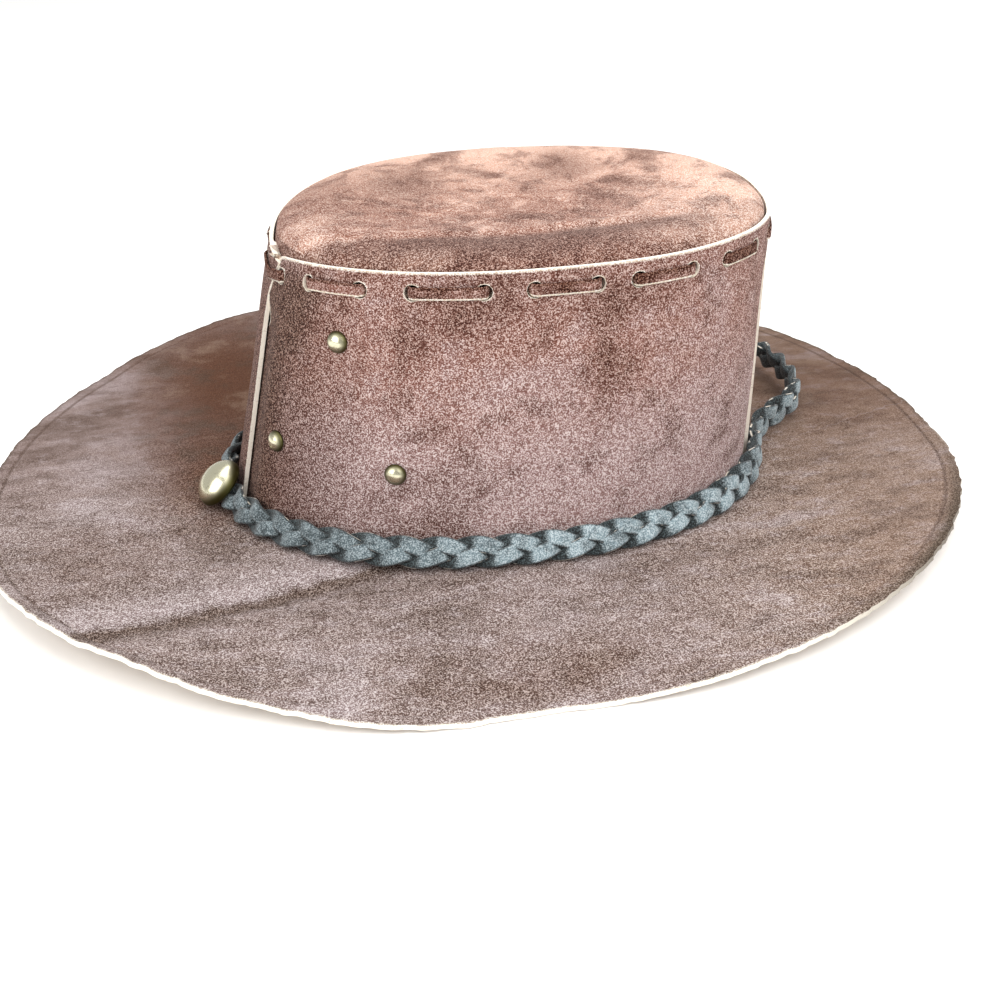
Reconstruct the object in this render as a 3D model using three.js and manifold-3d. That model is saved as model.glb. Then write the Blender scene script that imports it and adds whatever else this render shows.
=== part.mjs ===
// Leather cowboy hat, in millimetres, +Z up, standing on its brim.
// +X is the back of the hat, -X its front, -Y the wearer's left side.
// The crown is two suede panels that stand on the brim, laced to a moulded top.
// Every outline is a rounded oval around the crown's axis, and every piece takes
// its place from those outlines and a small clearance.

import * as THREE from 'three';
import { mergeVertices } from 'three/addons/utils/BufferGeometryUtils.js';
import Module from 'manifold-3d';

const wasm = await Module();
wasm.setup();

// Clearance between pieces that lie on each other
const FIT = 0.3;

// Crown foot: the outside of the panels where they stand on the brim
const FOOT_HALF_LENGTH = 104.2;
const FOOT_HALF_WIDTH = 79.1;
const FOOT_SQUARENESS = 2.12;

// Crown rim: the outside of the panels at their upper edge
const RIM_HALF_LENGTH = 94;
const RIM_HALF_WIDTH = 72.5;
const RIM_SQUARENESS = 2.3;
const RIM_SET_BACK = 12.6;
const CROWN_HEIGHT = 105.8;

// Panels, their seams and the open notch at the top of each seam
const WALL = 2;
const SEAM_FRONT = THREE.MathUtils.degToRad(191.5);
const SEAM_BACK = THREE.MathUtils.degToRad(346);
const LAP = 9;
const LAP_RAMP = 14;
const BUTT_DEPTH = 13;
const LAP_DEPTH = 26;

// The crown is a little flatter at the front of its far side
const FLAT = { angle: THREE.MathUtils.degToRad(158), depth: 4.5, width: 40 };

// Edge of the left panel at a seam, and how far the right one parts from it in the open notch.
// above is a share of LAP_DEPTH above the rim; left and open are shares of NOTCH_WIDTH.
// Below the last row the right panel ends at the seam and the left one goes on under it.
const NOTCH_WIDTH = 10.5;
const SEAM_EDGES = [
  { above: 0.31, left: 1, open: 1.73 },
  { above: 0.08, left: 0.89, open: 1.24 },
  { above: 0.02, left: 0.85, open: 0.7 },
  { above: -0.03, left: 0.82, open: 0 },
  { above: -0.19, left: 0.58, open: 0 },
  { above: -0.55, left: 0.12, open: 0 },
  { above: -1, left: 0, open: 0 },
];
const SEAM_CUTS = [
  { seam: SEAM_FRONT, side: 1, share: 1 },
  { seam: SEAM_BACK, side: -1, share: 0.6 },
];

// The rim dips towards the seams, by shares of RIM_DIP, and comes back over a fading
// length, a share of RIM_HALF_LENGTH.
const RIM_DIP = 6.5;
const RIM_DIPS = [
  { seam: SEAM_FRONT, depth: 1, fade: 0.3 },
  { seam: SEAM_BACK, depth: 0.3, fade: 0.21 },
];

// Moulded top with its skirt inside the panels
const TOP_THICKNESS = 2;
const TOP_SKIRT = 12.5;
const SHOULDER_START = 2;
const SHOULDER_RISE = 5;
const SHOULDER_REACH = 18;
const TOP_SINK = 3.5;

// Lace and its punched holes
const LACE_WIDTH = 4.6;
const LACE_THICKNESS = 1.4;
const LACE_DROP = 7;
const LACE_RUNS = 14;
const LACE_OUTSIDE_SHARE = 0.56;
const LACE_HOLE_RADIUS = 2.9;

// Brim: one ply, its inner margin turned up inside the panels
const BRIM_THICKNESS = 2.2;
const BRIM_HALF_LENGTH = 194.5;
const BRIM_HALF_WIDTH = 174.7;
const BRIM_SQUARENESS = 2.19;
const BRIM_SET_FORWARD = 8.7;
const BRIM_SET_RIGHT = 5.3;
const BRIM_ROOT_LIFT = 2.2;
const BRIM_LIFT = 10;
const BRIM_CURVE = 1.5;
const BRIM_MARGIN = 6;
const UPSTAND = 11;

// Brim sections, one each 15 degrees from the back round the far side and the front.
// reach is a share of the oval's radius, lift is a share of BRIM_LIFT at the edge.
// Where the lift is below zero the leather lies flat on the floor.
const BRIM_SECTIONS = [
  { reach: 0.995, lift: 0.35 },
  { reach: 1.003, lift: 0.1 },
  { reach: 1.018, lift: -0.1 },
  { reach: 1.02, lift: 0.03 },
  { reach: 1.02, lift: 0.15 },
  { reach: 1.02, lift: 0.4 },
  { reach: 1.02, lift: 0.57 },
  { reach: 1.03, lift: 0.63 },
  { reach: 1.03, lift: 0.55 },
  { reach: 1.005, lift: 0.2 },
  { reach: 0.984, lift: -0.1 },
  { reach: 0.98, lift: 0.04 },
  { reach: 0.983, lift: 0.2 },
  { reach: 0.987, lift: 0.65 },
  { reach: 1.0, lift: 1.05 },
  { reach: 0.997, lift: 0.9 },
  { reach: 1.011, lift: 0.55 },
  { reach: 1.021, lift: 0.15 },
  { reach: 0.994, lift: -0.1 },
  { reach: 1.006, lift: 0.25 },
  { reach: 1.003, lift: 0.52 },
  { reach: 0.998, lift: 0.7 },
  { reach: 0.997, lift: 0.75 },
  { reach: 0.998, lift: 0.6 },
];

// Fold across the front left of the brim, from the band to the edge
const FOLD = {
  start: THREE.MathUtils.degToRad(238),
  end: THREE.MathUtils.degToRad(219),
  depth: 2.2,
  width: 16,
};

// Braided band round the foot, with a slack loop at the back
const BAND_WIDTH = 11.8;
const BAND_THICKNESS = 5.5;
const BAND_GAP = 0.5;
const BAND_TILT = THREE.MathUtils.degToRad(35);
const BAND_TILT_FROM = THREE.MathUtils.degToRad(50);

// The slack of the band at the back: how far it stands off the crown, at equal turns
const LOOP_START = THREE.MathUtils.degToRad(-12);
const LOOP_END = THREE.MathUtils.degToRad(78);
const LOOP_REACH = 44;
const LOOP_SECTIONS = [
  { reach: 0 },
  { reach: 0.02 },
  { reach: 0.2 },
  { reach: 0.6 },
  { reach: 0.8 },
  { reach: 0.93 },
  { reach: 1.03 },
  { reach: 1.05 },
  { reach: 0.92 },
  { reach: 0.67 },
  { reach: 0.43 },
  { reach: 0.28 },
  { reach: 0.16 },
  { reach: 0.07 },
  { reach: 0.02 },
  { reach: 0 },
];

// Domed button on the band at the front, leaning further than the band
const BUTTON_RADIUS = 9.8;
const BUTTON_DOME = 6.8;
const BUTTON_EDGE = 1.3;
const BUTTON_ANGLE = THREE.MathUtils.degToRad(189);
const BUTTON_TILT = THREE.MathUtils.degToRad(13);
const BUTTON_RAISE = 3;

// Domed studs: place round the crown in degrees and height as a share of the crown's
const STUD_RADIUS = 4;
const STUD_DOME = 2.8;
const STUD_POST_RADIUS = 1;
const STUD_BACK_RADIUS = 3;
const STUD_BACK = 0.6;
const STUD_PLACES = [
  { angle: 218, height: 0.742 },
  { angle: 204, height: 0.333 },
  { angle: 234.8, height: 0.308 },
];

// Facets
const ROUND_STEPS = 54;
const BRIM_STEPS = 64;
const LEFT_STEPS = 32;
const RIGHT_STEPS = 38;
const RAMP_STEPS = 3;
const HOLE_SIDES = 8;
const LACE_RUN_STEPS = 3;
const BAND_SIDES = 8;
const BAND_STEPS = 72;
const LINE_STEPS = 720;
const SHOULDER_STEPS = 3;
const DOME_STEPS = 3;
const BUTTON_SIDES = 16;
const STUD_SIDES = 8;

// Shares of the way from the middle to the edge at which the top and the brim bend
const TOP_RINGS = [0, 0.6];
const BRIM_RINGS = [0.72, 0.46, 0.22];

const FULL_TURN = 2 * Math.PI;
const TURN_STEP = 0.01;
const CUT_REACH = 4 * (WALL + TOP_THICKNESS);
const FOOT_Z = BRIM_ROOT_LIFT + BRIM_THICKNESS + FIT;

const lerp = THREE.MathUtils.lerp;

// Rounded oval

const FOOT = {
  halfLength: FOOT_HALF_LENGTH,
  halfWidth: FOOT_HALF_WIDTH,
  squareness: FOOT_SQUARENESS,
};

const BRIM_OVAL = {
  halfLength: BRIM_HALF_LENGTH,
  halfWidth: BRIM_HALF_WIDTH,
  squareness: BRIM_SQUARENESS,
};

function ovalRadius(oval, angle) {
  const along = Math.abs(Math.cos(angle) / oval.halfLength) ** oval.squareness;
  const across = Math.abs(Math.sin(angle) / oval.halfWidth) ** oval.squareness;
  return (along + across) ** (-1 / oval.squareness);
}

// Point of an oval moved outwards along its normal.
function ovalPoint(oval, angle, offset) {
  const radius = ovalRadius(oval, angle);
  const x = radius * Math.cos(angle);
  const y = radius * Math.sin(angle);
  const power = oval.squareness - 1;
  const slopeX = (Math.sign(x) * Math.abs(x) ** power) / oval.halfLength ** oval.squareness;
  const slopeY = (Math.sign(y) * Math.abs(y) ** power) / oval.halfWidth ** oval.squareness;
  const length = Math.hypot(slopeX, slopeY);
  return new THREE.Vector2(x + (offset * slopeX) / length, y + (offset * slopeY) / length);
}

// The crown's oval at a height above its foot; above the rim it stays the rim's.
function crownOval(height) {
  const share = Math.min(height / CROWN_HEIGHT, 1);
  return {
    halfLength: lerp(FOOT_HALF_LENGTH, RIM_HALF_LENGTH, share),
    halfWidth: lerp(FOOT_HALF_WIDTH, RIM_HALF_WIDTH, share),
    squareness: lerp(FOOT_SQUARENESS, RIM_SQUARENESS, share),
    setBack: RIM_SET_BACK * share,
  };
}

// Point on the crown, moved outwards from the panels' outside by the offset.
function crownPoint(angle, height, offset) {
  const oval = crownOval(height);
  const inwards = FLAT.depth * Math.exp(-((lengthFromSeam(angle, FLAT.angle) / FLAT.width) ** 2));
  const flat = ovalPoint(oval, angle, offset - inwards);
  return new THREE.Vector3(flat.x + oval.setBack, flat.y, FOOT_Z + height);
}

// Signed length along the crown from a seam, positive with a growing angle.
function lengthFromSeam(angle, seam) {
  let turn = (angle - seam) % FULL_TURN;
  if (turn > Math.PI) turn -= FULL_TURN;
  if (turn < -Math.PI) turn += FULL_TURN;
  return turn * RIM_HALF_LENGTH;
}

function rimHeight(angle) {
  let dip = 0;
  for (const row of RIM_DIPS) {
    const fade = row.fade * RIM_HALF_LENGTH;
    dip += RIM_DIP * row.depth * Math.exp(-Math.abs(lengthFromSeam(angle, row.seam)) / fade);
  }
  return CROWN_HEIGHT - dip;
}

function smooth(low, high, value) {
  const share = THREE.MathUtils.clamp((value - low) / (high - low), 0, 1);
  return share * share * (3 - 2 * share);
}

// Value of a column at a place between its rows, on a smooth curve through them.
// The rows run on from the last to the first.
function blendRows(rows, place, key) {
  const first = Math.floor(place);
  const share = place - first;
  const [a, b, c, d] = [-1, 0, 1, 2].map((i) => rows[(first + i + rows.length) % rows.length][key]);
  const bend = 2 * a - 5 * b + 4 * c - d + share * (3 * (b - c) + d - a);
  return b + 0.5 * share * (c - a + share * bend);
}

// Length past each seam, towards the right panel
function lengthUnderRight(angle) {
  const front = -lengthFromSeam(angle, SEAM_FRONT);
  const back = lengthFromSeam(angle, SEAM_BACK);
  return Math.abs(front) < Math.abs(back) ? front : back;
}

// How far a panel or the upstand moves inwards to clear the lapped panel end
function lapInset(angle) {
  const under = lengthUnderRight(angle);
  const rise = smooth(-LAP_RAMP, 0, under);
  const fall = 1 - smooth(LAP + FIT, LAP + LAP_RAMP, under);
  return (WALL + FIT) * rise * fall;
}

// Geometry helpers

// A closed body from sections that are closed rings of points with the same count.
// An open run of sections is capped at both ends, point i to point count - 1 - i.
function sweep(sections, closed) {
  const count = sections[0].length;
  const positions = sections.flat().flatMap((point) => [point.x, point.y, point.z]);
  const index = [];
  const spans = closed ? sections.length : sections.length - 1;
  for (let i = 0; i < spans; i += 1) {
    const here = i * count;
    const next = ((i + 1) % sections.length) * count;
    for (let j = 0; j < count; j += 1) {
      const k = (j + 1) % count;
      index.push(here + j, next + j, next + k);
      index.push(here + j, next + k, here + k);
    }
  }
  if (!closed) {
    const last = (sections.length - 1) * count;
    for (let j = 0; j < count / 2 - 1; j += 1) {
      const k = count - 1 - j;
      index.push(j, j + 1, k);
      index.push(j + 1, k - 1, k);
      index.push(last + j, last + k, last + j + 1);
      index.push(last + j + 1, last + k, last + k - 1);
    }
  }
  return tidy(positions, index);
}

// Merges equal points, drops flat triangles and turns the faces outwards.
function tidy(positions, index) {
  const loose = new THREE.BufferGeometry();
  loose.setAttribute('position', new THREE.Float32BufferAttribute(positions, 3));
  loose.setIndex(index);
  const merged = mergeVertices(loose, 1e-4);
  const kept = [];
  const old = merged.index.array;
  for (let i = 0; i < old.length; i += 3) {
    const [a, b, c] = [old[i], old[i + 1], old[i + 2]];
    if (a !== b && b !== c && a !== c) kept.push(a, b, c);
  }
  if (signedVolume(merged.attributes.position.array, kept) < 0) {
    for (let i = 0; i < kept.length; i += 3) [kept[i + 1], kept[i + 2]] = [kept[i + 2], kept[i + 1]];
  }
  merged.setIndex(kept);
  return merged;
}

function signedVolume(points, index) {
  const corner = (i) => new THREE.Vector3().fromArray(points, 3 * i);
  let volume = 0;
  for (let i = 0; i < index.length; i += 3) {
    volume += corner(index[i]).dot(corner(index[i + 1]).cross(corner(index[i + 2]))) / 6;
  }
  return volume;
}

function toSolid(geometry) {
  const bare = geometry.clone();
  bare.deleteAttribute('normal');
  bare.deleteAttribute('uv');
  const merged = mergeVertices(bare, 1e-4);
  return new wasm.Manifold(
    new wasm.Mesh({
      numProp: 3,
      vertProperties: new Float32Array(merged.attributes.position.array),
      triVerts: new Uint32Array(merged.index.array),
    }),
  );
}

function fromSolid(solid) {
  const mesh = solid.getMesh();
  const geometry = new THREE.BufferGeometry();
  geometry.setAttribute('position', new THREE.BufferAttribute(new Float32Array(mesh.vertProperties), 3));
  geometry.setIndex(new THREE.BufferAttribute(new Uint32Array(mesh.triVerts), 1));
  return geometry;
}

// Frame on the crown's outside: X along it with a growing angle, Y up it, Z outwards.
function crownFrame(angle, height, leaning = true) {
  const origin = crownPoint(angle, height, 0);
  const along = crownPoint(angle + TURN_STEP, height, 0);
  along.sub(crownPoint(angle - TURN_STEP, height, 0)).normalize();
  const rise = new THREE.Vector3(0, 0, 1);
  if (leaning) rise.subVectors(origin, crownPoint(angle, height - 1, 0)).normalize();
  const out = new THREE.Vector3().crossVectors(along, rise).normalize();
  const up = new THREE.Vector3().crossVectors(out, along);
  return new THREE.Matrix4().makeBasis(along, up, out).setPosition(origin);
}

// A line once round the crown, as rows of angle, point and length so far.
function measuredLine(start, pointAt) {
  const rows = [{ angle: start, point: pointAt(start), length: 0 }];
  for (let i = 1; i <= LINE_STEPS; i += 1) {
    const angle = start + (i / LINE_STEPS) * FULL_TURN;
    const point = pointAt(angle);
    const last = rows[i - 1];
    rows.push({ angle, point, length: last.length + point.distanceTo(last.point) });
  }
  return rows;
}

function lineLength(line) {
  return line[line.length - 1].length;
}

// Angle at a length along such a line.
function lineAngle(line, length) {
  const wrapped = THREE.MathUtils.euclideanModulo(length, lineLength(line));
  const after = line.findIndex((row, i) => i > 0 && row.length >= wrapped);
  const low = line[after - 1];
  const high = line[after];
  return lerp(low.angle, high.angle, (wrapped - low.length) / (high.length - low.length));
}

// A round pin through the crown, for cutting a hole.
function holePin(frame, radius) {
  const pin = new THREE.CylinderGeometry(radius, radius, 2 * CUT_REACH, HOLE_SIDES);
  pin.rotateX(Math.PI / 2);
  pin.applyMatrix4(frame);
  return toSolid(pin);
}

// Cuts a panel beside a seam, from its edge in the rows out to a length past the seam.
function seamCutter(cut, rows, edgeLength, end) {
  const ring = (offset) => {
    const corner = (row, length) => {
      const turn = (cut.side * length) / RIM_HALF_LENGTH;
      return crownPoint(cut.seam + turn, rimHeight(cut.seam) + row.above * LAP_DEPTH, offset);
    };
    const edge = rows.map((row) => corner(row, cut.share * edgeLength(row)));
    const side = rows.map((row) => corner(row, end));
    return [...edge, ...side.reverse()];
  };
  return toSolid(sweep([ring(-CUT_REACH), ring(CUT_REACH)], false));
}

function leftEdge(row) {
  return NOTCH_WIDTH * row.left;
}

function rightEdge(row) {
  return NOTCH_WIDTH * (row.left - row.open) - FIT;
}

// Lace holes, equally spaced by length round the lace's line

function laceHeight(angle) {
  return rimHeight(angle) - LACE_DROP;
}

const laceLine = measuredLine(SEAM_FRONT, (angle) => crownPoint(angle, CROWN_HEIGHT - LACE_DROP, 0));
const LACE_LENGTH = lineLength(laceLine);

function laceAngle(length) {
  return lineAngle(laceLine, length);
}

// A run outside the crown goes from its start to its end; the first one crosses the front seam.
const LACE_PITCH = LACE_LENGTH / LACE_RUNS;
const laceRuns = [];
for (let i = 0; i < LACE_RUNS; i += 1) {
  const middle = i * LACE_PITCH;
  const half = (LACE_PITCH * LACE_OUTSIDE_SHARE) / 2;
  laceRuns.push({ start: middle - half, end: middle + half });
}

function cutLaceHoles(solid) {
  let cut = solid;
  for (const run of laceRuns) {
    for (const length of [run.start, run.end]) {
      const angle = laceAngle(length);
      cut = cut.subtract(holePin(crownFrame(angle, laceHeight(angle), false), LACE_HOLE_RADIUS));
    }
  }
  return cut;
}

// Stud places on both sides, the right ones mirrored

const studs = [];
for (const [i, place] of STUD_PLACES.entries()) {
  const angle = THREE.MathUtils.degToRad(place.angle);
  const height = place.height * CROWN_HEIGHT;
  studs.push({ name: `stud_left_${i + 1}`, angle, height });
  studs.push({ name: `stud_right_${i + 1}`, angle: FULL_TURN - angle, height });
}

function cutStudHoles(solid) {
  let cut = solid;
  for (const stud of studs) {
    cut = cut.subtract(holePin(crownFrame(stud.angle, stud.height), STUD_POST_RADIUS + FIT));
  }
  return cut;
}

// Crown panels

// One section of a panel: up its outside and down its inside.
function panelSection(angle, inset) {
  const rim = rimHeight(angle);
  const heights = [0, rim - LAP_DEPTH, rim - BUTT_DEPTH, rim];
  const outside = heights.map((height) => crownPoint(angle, height, -inset(angle, rim - height)));
  const inside = heights.map((height) => crownPoint(angle, height, -inset(angle, rim - height) - WALL));
  return [...outside, ...inside.reverse()];
}

function panelSweep(angles, inset) {
  return sweep(angles.map((angle) => panelSection(angle, inset)), false);
}

// Angles from start to end in equal steps.
function equalAngles(start, end, steps) {
  return Array.from({ length: steps + 1 }, (_, i) => lerp(start, end, i / steps));
}

// The left panel's ends move inwards below the notch and go under the right panel.
function makeWallLeft() {
  const lapTurn = LAP / RIM_HALF_LENGTH;
  const rampTurn = LAP_RAMP / RIM_HALF_LENGTH;
  const inset = (angle, depth) => lapInset(angle) * smooth(BUTT_DEPTH, LAP_DEPTH, depth);
  const angles = [
    SEAM_FRONT - lapTurn,
    ...equalAngles(SEAM_FRONT, SEAM_FRONT + rampTurn, RAMP_STEPS),
    ...equalAngles(SEAM_FRONT + rampTurn, SEAM_BACK - rampTurn, LEFT_STEPS).slice(1, -1),
    ...equalAngles(SEAM_BACK - rampTurn, SEAM_BACK, RAMP_STEPS),
    SEAM_BACK + lapTurn,
  ];
  let solid = toSolid(panelSweep(angles, inset));
  for (const cut of SEAM_CUTS) {
    solid = solid.subtract(seamCutter(cut, SEAM_EDGES, leftEdge, -(LAP + WALL)));
  }
  return fromSolid(cutStudHoles(cutLaceHoles(solid)));
}

function makeWallRight() {
  const lapTurn = LAP / RIM_HALF_LENGTH;
  const angles = equalAngles(SEAM_BACK - FULL_TURN - lapTurn, SEAM_FRONT + lapTurn, RIGHT_STEPS);
  const rows = [...SEAM_EDGES, { above: -CROWN_HEIGHT / LAP_DEPTH, left: 0, open: 0 }];
  let solid = toSolid(panelSweep(angles, () => 0));
  for (const cut of SEAM_CUTS) {
    solid = solid.subtract(seamCutter(cut, rows, rightEdge, LAP + WALL));
  }
  return fromSolid(cutStudHoles(cutLaceHoles(solid)));
}

// Moulded top: skirt, rounded shoulder and a middle that sinks a little

// Heights are above the rim's level and offsets are inwards from the panels' outside.
function topShoulder(drop) {
  const points = [];
  for (let i = 0; i <= SHOULDER_STEPS; i += 1) {
    const turn = (i / SHOULDER_STEPS) * (Math.PI / 2);
    points.push({
      height: -SHOULDER_START + (SHOULDER_START + SHOULDER_RISE) * Math.sin(turn) - drop,
      inset: WALL + FIT + drop + (SHOULDER_REACH - drop) * (1 - Math.cos(turn)),
    });
  }
  return points;
}

function topSkin(angle, drop) {
  const points = [];
  for (const share of TOP_RINGS) {
    const edge = crownPoint(angle, CROWN_HEIGHT, -(WALL + FIT + SHOULDER_REACH));
    const height = SHOULDER_RISE - TOP_SINK * (1 - share ** 2) - drop;
    points.push(
      new THREE.Vector3(lerp(RIM_SET_BACK, edge.x, share), edge.y * share, edge.z + height),
    );
  }
  for (const row of topShoulder(drop).reverse()) {
    points.push(crownPoint(angle, CROWN_HEIGHT + row.height, -row.inset));
  }
  const hem = rimHeight(angle) - TOP_SKIRT;
  points.push(crownPoint(angle, hem, -(WALL + FIT + drop)));
  return points;
}

function makeTop() {
  const sections = [];
  for (let i = 0; i < ROUND_STEPS; i += 1) {
    const angle = (i / ROUND_STEPS) * FULL_TURN;
    sections.push([...topSkin(angle, 0), ...topSkin(angle, TOP_THICKNESS).reverse()]);
  }
  return fromSolid(cutLaceHoles(toSolid(sweep(sections, true))));
}

// Lace: out over each run, in through the punched holes and along behind the top's skirt

function laceSection(length, outer, inner) {
  const half = LACE_WIDTH / 2;
  const corner = (row, lift) => {
    const angle = laceAngle(length + row.shift);
    return crownPoint(angle, laceHeight(angle) + lift, row.offset);
  };
  return [corner(outer, half), corner(inner, half), corner(inner, -half), corner(outer, -half)];
}

function makeLace() {
  const half = LACE_THICKNESS / 2;
  const out = FIT + half;
  const behind = -(WALL + FIT + TOP_THICKNESS + FIT + half);
  const sections = [];
  const add = (length, middle, outerShift, innerShift) => {
    const outer = { shift: outerShift, offset: middle + half };
    const inner = { shift: innerShift, offset: middle - half };
    sections.push(laceSection(length, outer, inner));
  };
  for (const [i, run] of laceRuns.entries()) {
    const next = laceRuns[(i + 1) % laceRuns.length];
    const nextStart = next.start + (i + 1 === laceRuns.length ? LACE_LENGTH : 0);
    add(run.start, out, -half, half);
    for (let k = 1; k < LACE_RUN_STEPS; k += 1) {
      add(lerp(run.start, run.end, k / LACE_RUN_STEPS), out, 0, 0);
    }
    add(run.end, out, half, -half);
    add(run.end, behind, half, -half);
    for (let k = 1; k < LACE_RUN_STEPS; k += 1) {
      add(lerp(run.end, nextStart, k / LACE_RUN_STEPS), behind, 0, 0);
    }
    add(nextStart, behind, -half, half);
  }
  return sweep(sections, true);
}

// Brim

function brimSection(angle) {
  const place = THREE.MathUtils.euclideanModulo(angle / FULL_TURN, 1) * BRIM_SECTIONS.length;
  return {
    reach: blendRows(BRIM_SECTIONS, place, 'reach'),
    lift: blendRows(BRIM_SECTIONS, place, 'lift'),
  };
}

// Edge point of the brim in the direction of a crown angle, from the crown's axis.
function brimEdge(angle) {
  const centre = new THREE.Vector2(-BRIM_SET_FORWARD, BRIM_SET_RIGHT);
  const section = brimSection(angle);
  const flat = ovalPoint(BRIM_OVAL, angle, 0).multiplyScalar(section.reach);
  return flat.add(centre);
}

// Distance of a point from the fold's line, which runs from the foot to the edge.
function foldDistance(x, y) {
  const start = ovalPoint(FOOT, FOLD.start, 0);
  const end = brimEdge(FOLD.end);
  const along = end.clone().sub(start).normalize();
  return Math.abs((x - start.x) * along.y - (y - start.y) * along.x);
}

// Underside of the brim at a share of the way from the foot to the edge.
function brimUnder(angle, share) {
  const root = ovalPoint(FOOT, angle, 0);
  const edge = brimEdge(angle);
  const flat = root.clone().lerp(edge, share);
  const lift = BRIM_LIFT * brimSection(angle).lift;
  let z = BRIM_ROOT_LIFT + (lift - BRIM_ROOT_LIFT) * share ** BRIM_CURVE;
  const fold = Math.exp(-((foldDistance(flat.x, flat.y) / FOLD.width) ** 2));
  const onThisSide = smooth(0, 1, 1 - Math.abs(lengthFromSeam(angle, FOLD.start)) / RIM_HALF_LENGTH);
  z -= FOLD.depth * fold * onThisSide * Math.sin(Math.PI * Math.sqrt(share));
  return new THREE.Vector3(flat.x, flat.y, Math.max(z, 0));
}

function makeBrim() {
  const sections = [];
  for (let i = 0; i < BRIM_STEPS; i += 1) {
    const angle = (i / BRIM_STEPS) * FULL_TURN;
    const root = ovalPoint(FOOT, angle, 0);
    const width = brimEdge(angle).distanceTo(root);
    const shares = [1, 1 - BRIM_MARGIN / width, ...BRIM_RINGS, 0];
    const under = shares.map((share) => brimUnder(angle, share));
    const over = under.map((point) => point.clone().setZ(point.z + BRIM_THICKNESS)).reverse();
    const step = FULL_TURN / BRIM_STEPS;
    const inset = WALL + FIT + Math.max(...[-step, 0, step].map((turn) => lapInset(angle + turn)));
    const neck = (height, extra) => crownPoint(angle, height, -(inset + extra));
    const low = neck(0, BRIM_THICKNESS / 2).setZ(BRIM_ROOT_LIFT);
    const bend = neck(0, BRIM_THICKNESS).setZ(BRIM_ROOT_LIFT + BRIM_THICKNESS / 2);
    const top = [neck(UPSTAND, BRIM_THICKNESS), neck(UPSTAND, 0)];
    const inner = neck(0, 0).setZ(BRIM_ROOT_LIFT + BRIM_THICKNESS);
    sections.push([...under, low, bend, ...top, inner, ...over]);
  }
  return sweep(sections, true);
}

// Braided band, a plain oval section here, that leans against the panels on the brim

function loopReach(angle) {
  const turn = THREE.MathUtils.euclideanModulo(angle - LOOP_START, FULL_TURN);
  const place = (turn / (LOOP_END - LOOP_START)) * (LOOP_SECTIONS.length - 1);
  if (place >= LOOP_SECTIONS.length - 1) return 0;
  return LOOP_REACH * Math.max(blendRows(LOOP_SECTIONS, place, 'reach'), 0);
}

// The band leans with its lower edge out, and stands up at the back.
function bandTilt(angle) {
  const turn = THREE.MathUtils.euclideanModulo(angle, FULL_TURN);
  return BAND_TILT * smooth(0, BAND_TILT_FROM, Math.min(turn, FULL_TURN - turn));
}

// Middle of the band at an angle, from the extents of its leaning section.
function bandMiddle(angle) {
  const tilt = bandTilt(angle);
  const across = BAND_WIDTH / 2;
  const through = BAND_THICKNESS / 2;
  const rise = Math.hypot(across * Math.cos(tilt), through * Math.sin(tilt));
  const stand = Math.hypot(across * Math.sin(tilt), through * Math.cos(tilt));
  return crownPoint(angle, rise, BAND_GAP + stand + loopReach(angle));
}

const bandLine = measuredLine(0, bandMiddle);

// Frame on the band's middle line: X along it, Y up its face, Z out of its face.
function bandFrame(angle) {
  const tilt = bandTilt(angle);
  const along = bandMiddle(angle + TURN_STEP).sub(bandMiddle(angle - TURN_STEP)).normalize();
  const level = new THREE.Vector3(along.y, -along.x, 0).normalize();
  const out = level.multiplyScalar(Math.cos(tilt)).setZ(Math.sin(tilt));
  const up = new THREE.Vector3().crossVectors(out, along).normalize();
  out.crossVectors(along, up);
  return new THREE.Matrix4().makeBasis(along, up, out).setPosition(bandMiddle(angle));
}

function makeBand() {
  const sections = [];
  for (let i = 0; i < BAND_STEPS; i += 1) {
    const frame = bandFrame(lineAngle(bandLine, (i / BAND_STEPS) * lineLength(bandLine)));
    const ring = [];
    for (let k = 0; k < BAND_SIDES; k += 1) {
      const turn = ((k + 0.5) / BAND_SIDES) * FULL_TURN;
      const up = (BAND_WIDTH / 2) * Math.sin(turn);
      const out = (BAND_THICKNESS / 2) * Math.cos(turn);
      ring.push(new THREE.Vector3(0, up, out).applyMatrix4(frame));
    }
    sections.push(ring);
  }
  return sweep(sections, true);
}

// Button and studs

function makeButton() {
  const profile = [new THREE.Vector2(0, 0), new THREE.Vector2(1, 0)];
  for (let i = 0; i <= DOME_STEPS; i += 1) {
    const turn = (i / DOME_STEPS) * (Math.PI / 2);
    profile.push(new THREE.Vector2(Math.cos(turn), BUTTON_EDGE + BUTTON_DOME * Math.sin(turn)));
  }
  profile[profile.length - 1].x = 0;
  const dome = new THREE.LatheGeometry(profile, BUTTON_SIDES);
  dome.scale(BUTTON_RADIUS, 1, BUTTON_RADIUS);
  dome.rotateX(Math.PI / 2);
  return dome;
}

function makeStud() {
  const inside = -(FIT + WALL + FIT);
  const profile = [
    new THREE.Vector2(0, inside - STUD_BACK),
    new THREE.Vector2(STUD_BACK_RADIUS, inside - STUD_BACK),
    new THREE.Vector2(STUD_BACK_RADIUS, inside),
    new THREE.Vector2(STUD_POST_RADIUS, inside),
    new THREE.Vector2(STUD_POST_RADIUS, 0),
    new THREE.Vector2(STUD_RADIUS, 0),
  ];
  for (let i = 1; i <= DOME_STEPS; i += 1) {
    const turn = (i / DOME_STEPS) * (Math.PI / 2);
    profile.push(new THREE.Vector2(STUD_RADIUS * Math.cos(turn), STUD_DOME * Math.sin(turn)));
  }
  profile[profile.length - 1].x = 0;
  const stud = new THREE.LatheGeometry(profile, STUD_SIDES);
  stud.rotateX(Math.PI / 2);
  return stud;
}

// Materials

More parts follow.
